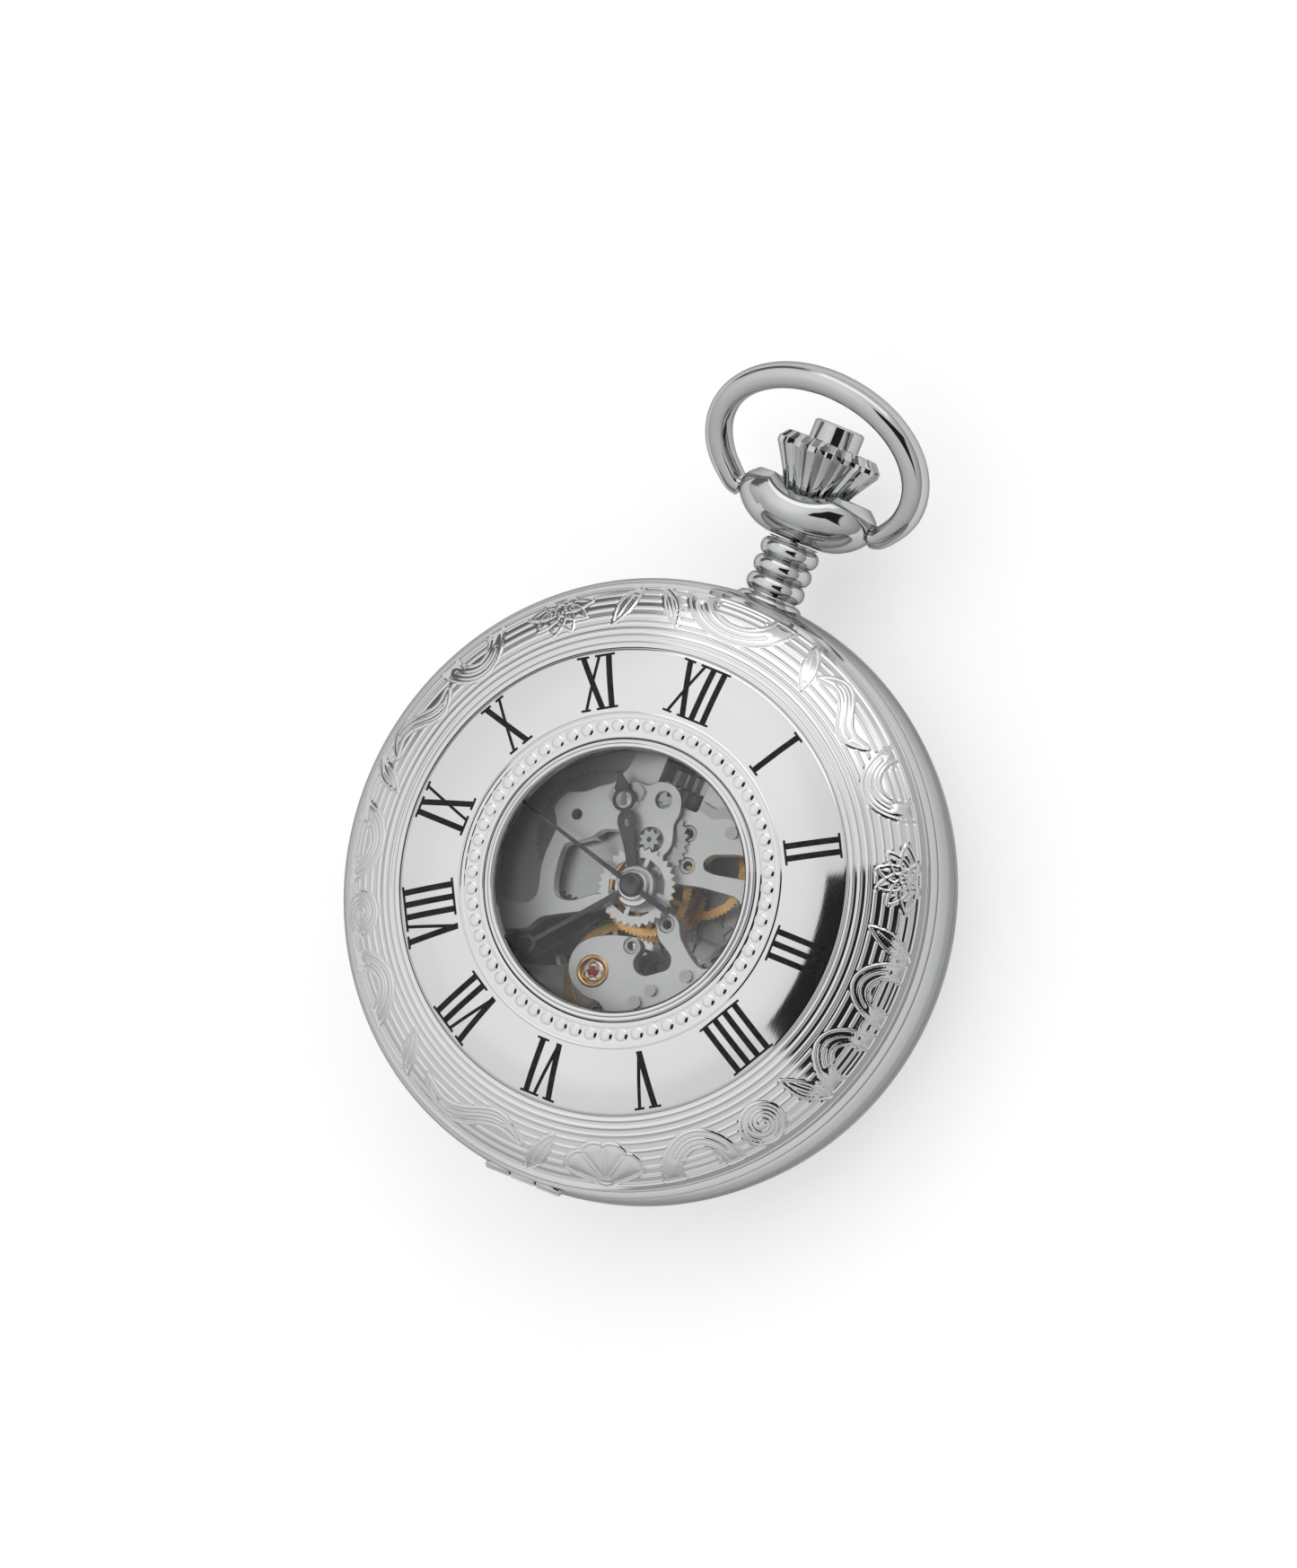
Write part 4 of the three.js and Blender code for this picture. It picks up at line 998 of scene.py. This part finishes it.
# ---- movement ----
def flat_piece(name, outlines, bottom, top, material, body, replaced=(), bevel=0.05, slot=""):
    """A flat part: its outer outline first, then its holes, with a small bevel on every edge."""
    rows, faces, caps, loops = [], [], [[], []], []
    for order, outline in enumerate(outlines):
        line = np.asarray(outline, float)
        x, y = line.T
        area = (x * np.roll(y, -1) - np.roll(x, -1) * y).sum()
        if (area > 0) != (order == 0):
            line = line[::-1]
        normal = 0
        for step in (np.roll(line, -1, axis=0) - line, line - np.roll(line, 1, axis=0)):
            length = np.maximum(np.linalg.norm(step, axis=1), 1e-9)[:, None]
            normal = normal + joined(-step[:, 1], step[:, 0]) / length
        normal /= np.maximum((normal**2).sum(1), 0.8)[:, None] / 2
        inset = line + bevel * normal
        start, count = sum(len(row) for row in rows), len(line)
        levels = ((inset, bottom), (line, bottom + bevel), (line, top - bevel), (inset, top))
        rows += [np.column_stack([ring, np.full(count, z)]) for ring, z in levels]
        faces += [[start + i for i in face] for face in grid_faces(4, count)]
        for cap, row in zip(caps, (0, 3)):
            cap += range(start + row * count, start + (row + 1) * count)
        loops.append([Vector((*point, 0.0)) for point in inset])
    triangles = tessellate_polygon(loops)
    for cap in caps:
        faces += [[cap[i] for i in triangle] for triangle in triangles]
    piece = new_piece(name, np.concatenate(rows), faces, material, body, replaced, slot)
    sharpen(piece, 32)


def circle(x, y, radius, steps=48):
    return ellipse_arc(x, y, radius, radius, 0, 360 * (1 - 1 / steps), steps)


def arc(radius, start, stop, steps):
    """An arc round the watch's centre."""
    return ellipse_arc(0, 0, radius, radius, start, stop, steps)


def opening(*runs, radius=0.45):
    """A window's outline from runs of points, with soft corners."""
    return rounded(np.concatenate([np.asarray(run, float) for run in runs]), radius)


PLATE_LOW = node_box("main_plate")[0][2]
PLATE_TOP = 9.2
RIM = 12.5  # the plate's windows stop at this radius
HUB = 1.9
LEFT_WINDOW = opening(
    [(-5.3, 6.6), (-6, 6.25), (-7.2, 5.2), (-8.5, 4.75), (-9.1, 3.3), (-8.3, 2.2), (-8.2, 1.6)],
    [(-8.3, -0.2), (-8.2, -1.3), (-7.8, -2.65), (-7.65, -3.45), (-8.1, -4.3), (-9.3, -4.5)],
    [(-11.5, -4.6)],
    arc(RIM, 201, 112, 40),
    [(-4.4, 10.5), (-4.6, 8.2)],
)
LOWER_WINDOW = opening(
    [(-10.2, -7.2), (-9.6, -7), (-7.3, -6.1), (-6.7, -4.9), (-5.1, -4.03), (-3.67, -3.3)],
    [(-2.44, -2.45), (-1.6, -1.5)],
    arc(HUB, 222, 310, 20),
    [(2.3, -2.2), (2.7, -3), (4.4, -3.95), (4.54, -4.89), (2.87, -6.1), (2.02, -5.99)],
    [(1.59, -5.28), (1.89, -4.29), (1.5, -3.69), (0.62, -3.65), (-0.69, -4.03), (-2.01, -4.66)],
    [(-2.88, -5.43), (-3.27, -6.53), (-3.09, -7.71), (-2.34, -8.67), (-1.09, -9.25)],
    [(0.21, -9.19), (0.82, -9.52), (1.3, -10.8)],
    arc(RIM, 276, 217, 30),
)
BARREL_WINDOW = opening(
    [(-7.11, 0.96), (-6.47, 1.33), (-5.21, 2.13), (-4.69, 3.08), (-3.16, 3.54), (-2.2, 3.1)],
    arc(HUB, 125, 200, 16),
    [(-2.6, -1.35), (-3.47, -1.75), (-4.68, -2.75), (-5.62, -3.05), (-6.4, -2.8), (-6.81, -1.74)],
    [(-7.07, -0.22)],
)
RIGHT_WINDOW = opening(
    [(1.95, 0.49), (2.35, 1.27), (4.52, 1.79), (7.44, 2.1), (8.6, 1.2), (9.2, -0.5), (8.4, -3)],
    [(6.99, -3.95), (6.03, -3.57), (4.43, -2.31), (3.85, -1.15), (2.9, -0.85), (2.1, -0.6)],
)
SLOT_WINDOW = opening(
    [(8, 5.3), (6.26, 5.14), (4.21, 4.34), (3.87, 3.6), (4.21, 3.11), (5.01, 3.1), (6.97, 3.48)],
    [(8.3, 3.9)],
)
STEM_WINDOW = opening([(-1.9, 6.95), (1.9, 6.95), (1.9, 10.3), (-1.9, 10.3)], radius=0.3)
WINDOWS = [LEFT_WINDOW, LOWER_WINDOW, BARREL_WINDOW, RIGHT_WINDOW, SLOT_WINDOW, STEM_WINDOW]
BUSHINGS = [(3.01, -1.79), (1.03, -4.3), (2.76, 2.93), (1.9, 5.23)]


def build_plate():
    """The pierced main plate with its bushings."""
    holes = [circle(0, 0, 0.62), circle(-7.06, 3.4, 0.4)]
    holes += [circle(x, y, 0.62) for x, y in BUSHINGS]
    holes.append(circle(*BALANCE[:2], 1.0))
    outlines = [circle(0, 0, 15.0, 240), *WINDOWS, *holes]
    levels = (PLATE_LOW, PLATE_TOP)
    flat_piece("skeleton_plate", outlines, *levels, PLATE, "case", ["main_plate"])
    levels = (8.5, PLATE_TOP - 0.12)
    for order, (x, y) in enumerate(BUSHINGS, 1):
        outlines = [circle(x, y, 0.66, 36), circle(x, y, 0.3, 24)]
        flat_piece(f"plate_bushing_{order}", outlines, *levels, STEEL, "case", (), 0.08, "plate")


def build_setting_plate():
    """The cover over the setting wheels, with the openings that show their teeth."""
    edge = [(-3.9, 6.75), (-3.36, 5.3), (-2.67, 4.5), (-2.15, 3.4), (-1.6, 2.5), (-0.5, 2.15)]
    edge += [(0.85, 2.65), (1.3, 3.8), (1.05, 4.75), (0.78, 5.4), (0.95, 6.4), (0.6, 7.6)]
    edge += [(-0.4, 8.35), (-1.7, 8.1), (-2.3, 7.45), (-3, 7.5), (-3.7, 7.4)]
    holes = [circle(-0.5, 3.7, 0.98), circle(-0.75, 6.9, 0.65), circle(-3.0, 6.6, 0.42)]
    outlines = [rounded(edge, 0.6), *holes]
    flat_piece("setting_cover", outlines, 9.68, 9.88, PLATE, "case", ["setting_bridge"])


def turned_flat(points, clockwise):
    t = radians(clockwise)
    x, y = np.asarray(points, float).T
    return joined(x * cos(t) + y * sin(t), y * cos(t) - x * sin(t))


def hand(name, runs, holes, clockwise, low, high, body, replaced, bevel):
    """A hand from its right-hand side as runs of points, pointing to 12, and its holes."""
    half = np.concatenate(runs)
    outlines = [np.concatenate([half, half[::-1] * (-1, 1)]), *holes]
    outlines = [turned_flat(outline, clockwise) for outline in outlines]
    flat_piece(name, outlines, low, high, HAND, body, [replaced], bevel)


def build_hands():
    runs = [
        ellipse_arc(0, 0, 1.35, 1.35, -88, 70, 24),
        [(0.43, 1.5), (0.475, 3.2), (0.64, 4.3), (0.75, 5), (0.66, 5.5), (0.32, 5.95)],
        ellipse_arc(0, 6.75, 0.92, 0.92, -60, 55, 14),
        [(0.62, 7.75), (0.3, 8.4), (0.035, 9)],
    ]
    holes = [circle(0, 0, 0.8), ellipse_arc(0, 4.95, 0.2, 0.33, 0, 345, 24), circle(0, 6.75, 0.64)]
    hand("hour_hand_pierced", runs, holes, 329.0, 10.5, 10.68, "hours", "hour_hand", 0.04)
    runs = [
        ellipse_arc(0, 0, 1.05, 1.05, -88, 76, 24),
        [(0.24, 1.5), (0.2, 5.5), (0.17, 8.7)],
        ellipse_arc(0, 9.5, 0.75, 0.75, -68, 68, 14),
        [(0.15, 10.4), (0.06, 12.6), (0.03, 13)],
    ]
    holes = [circle(0, 0, 0.5), circle(0, 9.5, 0.46)]
    hand("minute_hand_pierced", runs, holes, 221.0, 11.0, 11.16, "minutes", "minute_hand", 0.03)
    runs = [
        [(0.12, -3.8), (0.24, -3.6), (0.21, -1.2)],
        ellipse_arc(0, 0, 0.7, 0.7, -70, 80, 20),
        [(0.2, 1), (0.1, 11.6), (0.05, 11.8)],
    ]
    hand("seconds_needle", runs, [], 284.5, 11.5, 11.62, "seconds", "seconds_hand", 0.02)
    cap = [(0.02, 11.46), (0.93, 11.46), (0.93, 11.66), (0.82, 11.78), (0.5, 11.84), (0.02, 11.86)]
    turned("seconds_cap", cap, HAND, "seconds", columns=64, closed=False)
    ring = rounded([(0.56, 10.98), (1.2, 10.98), (1.2, 11.28), (1.08, 11.38), (0.56, 11.38)], 0.04)
    turned("minute_collar", ring, BRIGHT, "minutes", columns=72)
    ring = rounded([(0.82, 10.46), (1.62, 10.46), (1.62, 10.76), (1.5, 10.88), (0.82, 10.88)], 0.04)
    turned("hour_collar", ring, BRIGHT, "hours", columns=72)


def build_shock_setting():
    """The balance jewel: a gold rim, a silver seat, a three-armed gold spring and the ruby."""
    x, y = BALANCE[:2]
    place = {"columns": 64, "centre": (x, y, 0.0)}
    low = PLATE_TOP - 0.5
    rim = rounded([(0.98, low), (1.27, low), (1.27, 9.28), (1.15, 9.36), (0.98, 9.3)], 0.04)
    turned("jewel_rim", rim, BRASS, "case", ["shock_setting"], **place)
    seat = [(0.02, low), (0.98, low), (0.98, 9.16), (0.5, 9.1), (0.02, 9.1)]
    turned("jewel_seat", seat, BRIGHT, "case", closed=False, **place)
    stone = [(0.02, 9.1), (0.42, 9.1), (0.42, 9.2), (0.3, 9.27), (0.02, 9.29)]
    turned("jewel_stone", stone, RUBY, "case", closed=False, **place)
    turn = full_turn(96)
    reach = 0.66 + 0.26 * np.cos(3 * turn + 0.6)
    spring = (reach, reach - 0.13)
    outlines = [joined(x + r * np.cos(turn), y + r * np.sin(turn)) for r in spring]
    flat_piece("jewel_spring", outlines, 9.24, 9.34, BRASS, "case", bevel=0.02)


DIAL_TOP = node_box("dial_ring")[1][2]
TRACK_LOW, TRACK_HIGH = DIAL_TOP - 0.05, DIAL_TOP + 0.02
TRACK = {"inner": 18.0, "outer": 19.0}
TRACK_LINE = 0.1


def build_dial_print():
    """The chapter ring that shows when the lid is open: Roman hours inside a minute track."""
    build_numerals("dial_numeral", 3.3, 13.9, lambda r: DIAL_TOP, "case", 0.02, 0.05)
    for name, r in TRACK.items():
        edge = r + TRACK_LINE
        line = [(r, TRACK_LOW), (edge, TRACK_LOW), (edge, TRACK_HIGH), (r, TRACK_HIGH)]
        turned(f"track_line_{name}", line, INK, "case", columns=240)
    inner, outer = TRACK.values()
    points, faces = [], []
    for minute in range(60):
        half = TRACK_LINE * (0.6 if minute % 5 else 1.6)
        t = radians(6 * minute)
        start = len(points)
        for z in (TRACK_LOW, TRACK_HIGH):
            for u, v in ((-half, inner), (half, inner), (half, outer), (-half, outer)):
                x, y = u * cos(t) - v * sin(t), u * sin(t) + v * cos(t)
                points.append((x, y, z))
        faces += [[start + i for i in face] for face in grid_faces(2, 4)]
        faces += [list(range(start, start + 4)), list(range(start + 4, start + 8))]
    new_piece("minute_ticks", points, faces, INK, "case", smooth=False)


build_plate()
build_dial_print()
build_setting_plate()
build_hands()
build_shock_setting()


# ---- floor ----
FLOOR_HALF = 3000.0
FLOOR_LINES = 9


def build_floor():
    material, n, place = new_material("pale_floor")
    colour = n.mix(n.noise(place, 400.0, 3.0), grey(0.64), grey(0.67))
    finish_material(n, colour, 0.9, {"Emission Color": grey(1.0), "Emission Strength": 0.46})
    steps = np.linspace(-FLOOR_HALF, FLOOR_HALF, FLOOR_LINES)
    x, y = np.meshgrid(steps, steps, indexing="ij")
    points = joined(x, y, 0 * x + cad_box[0][2] / MM).reshape(-1, 3)
    faces = grid_faces(FLOOR_LINES, FLOOR_LINES, close_columns=False)
    floor = new_object("floor", new_mesh("floor", points, faces))
    floor.data.materials.append(material)


build_floor()
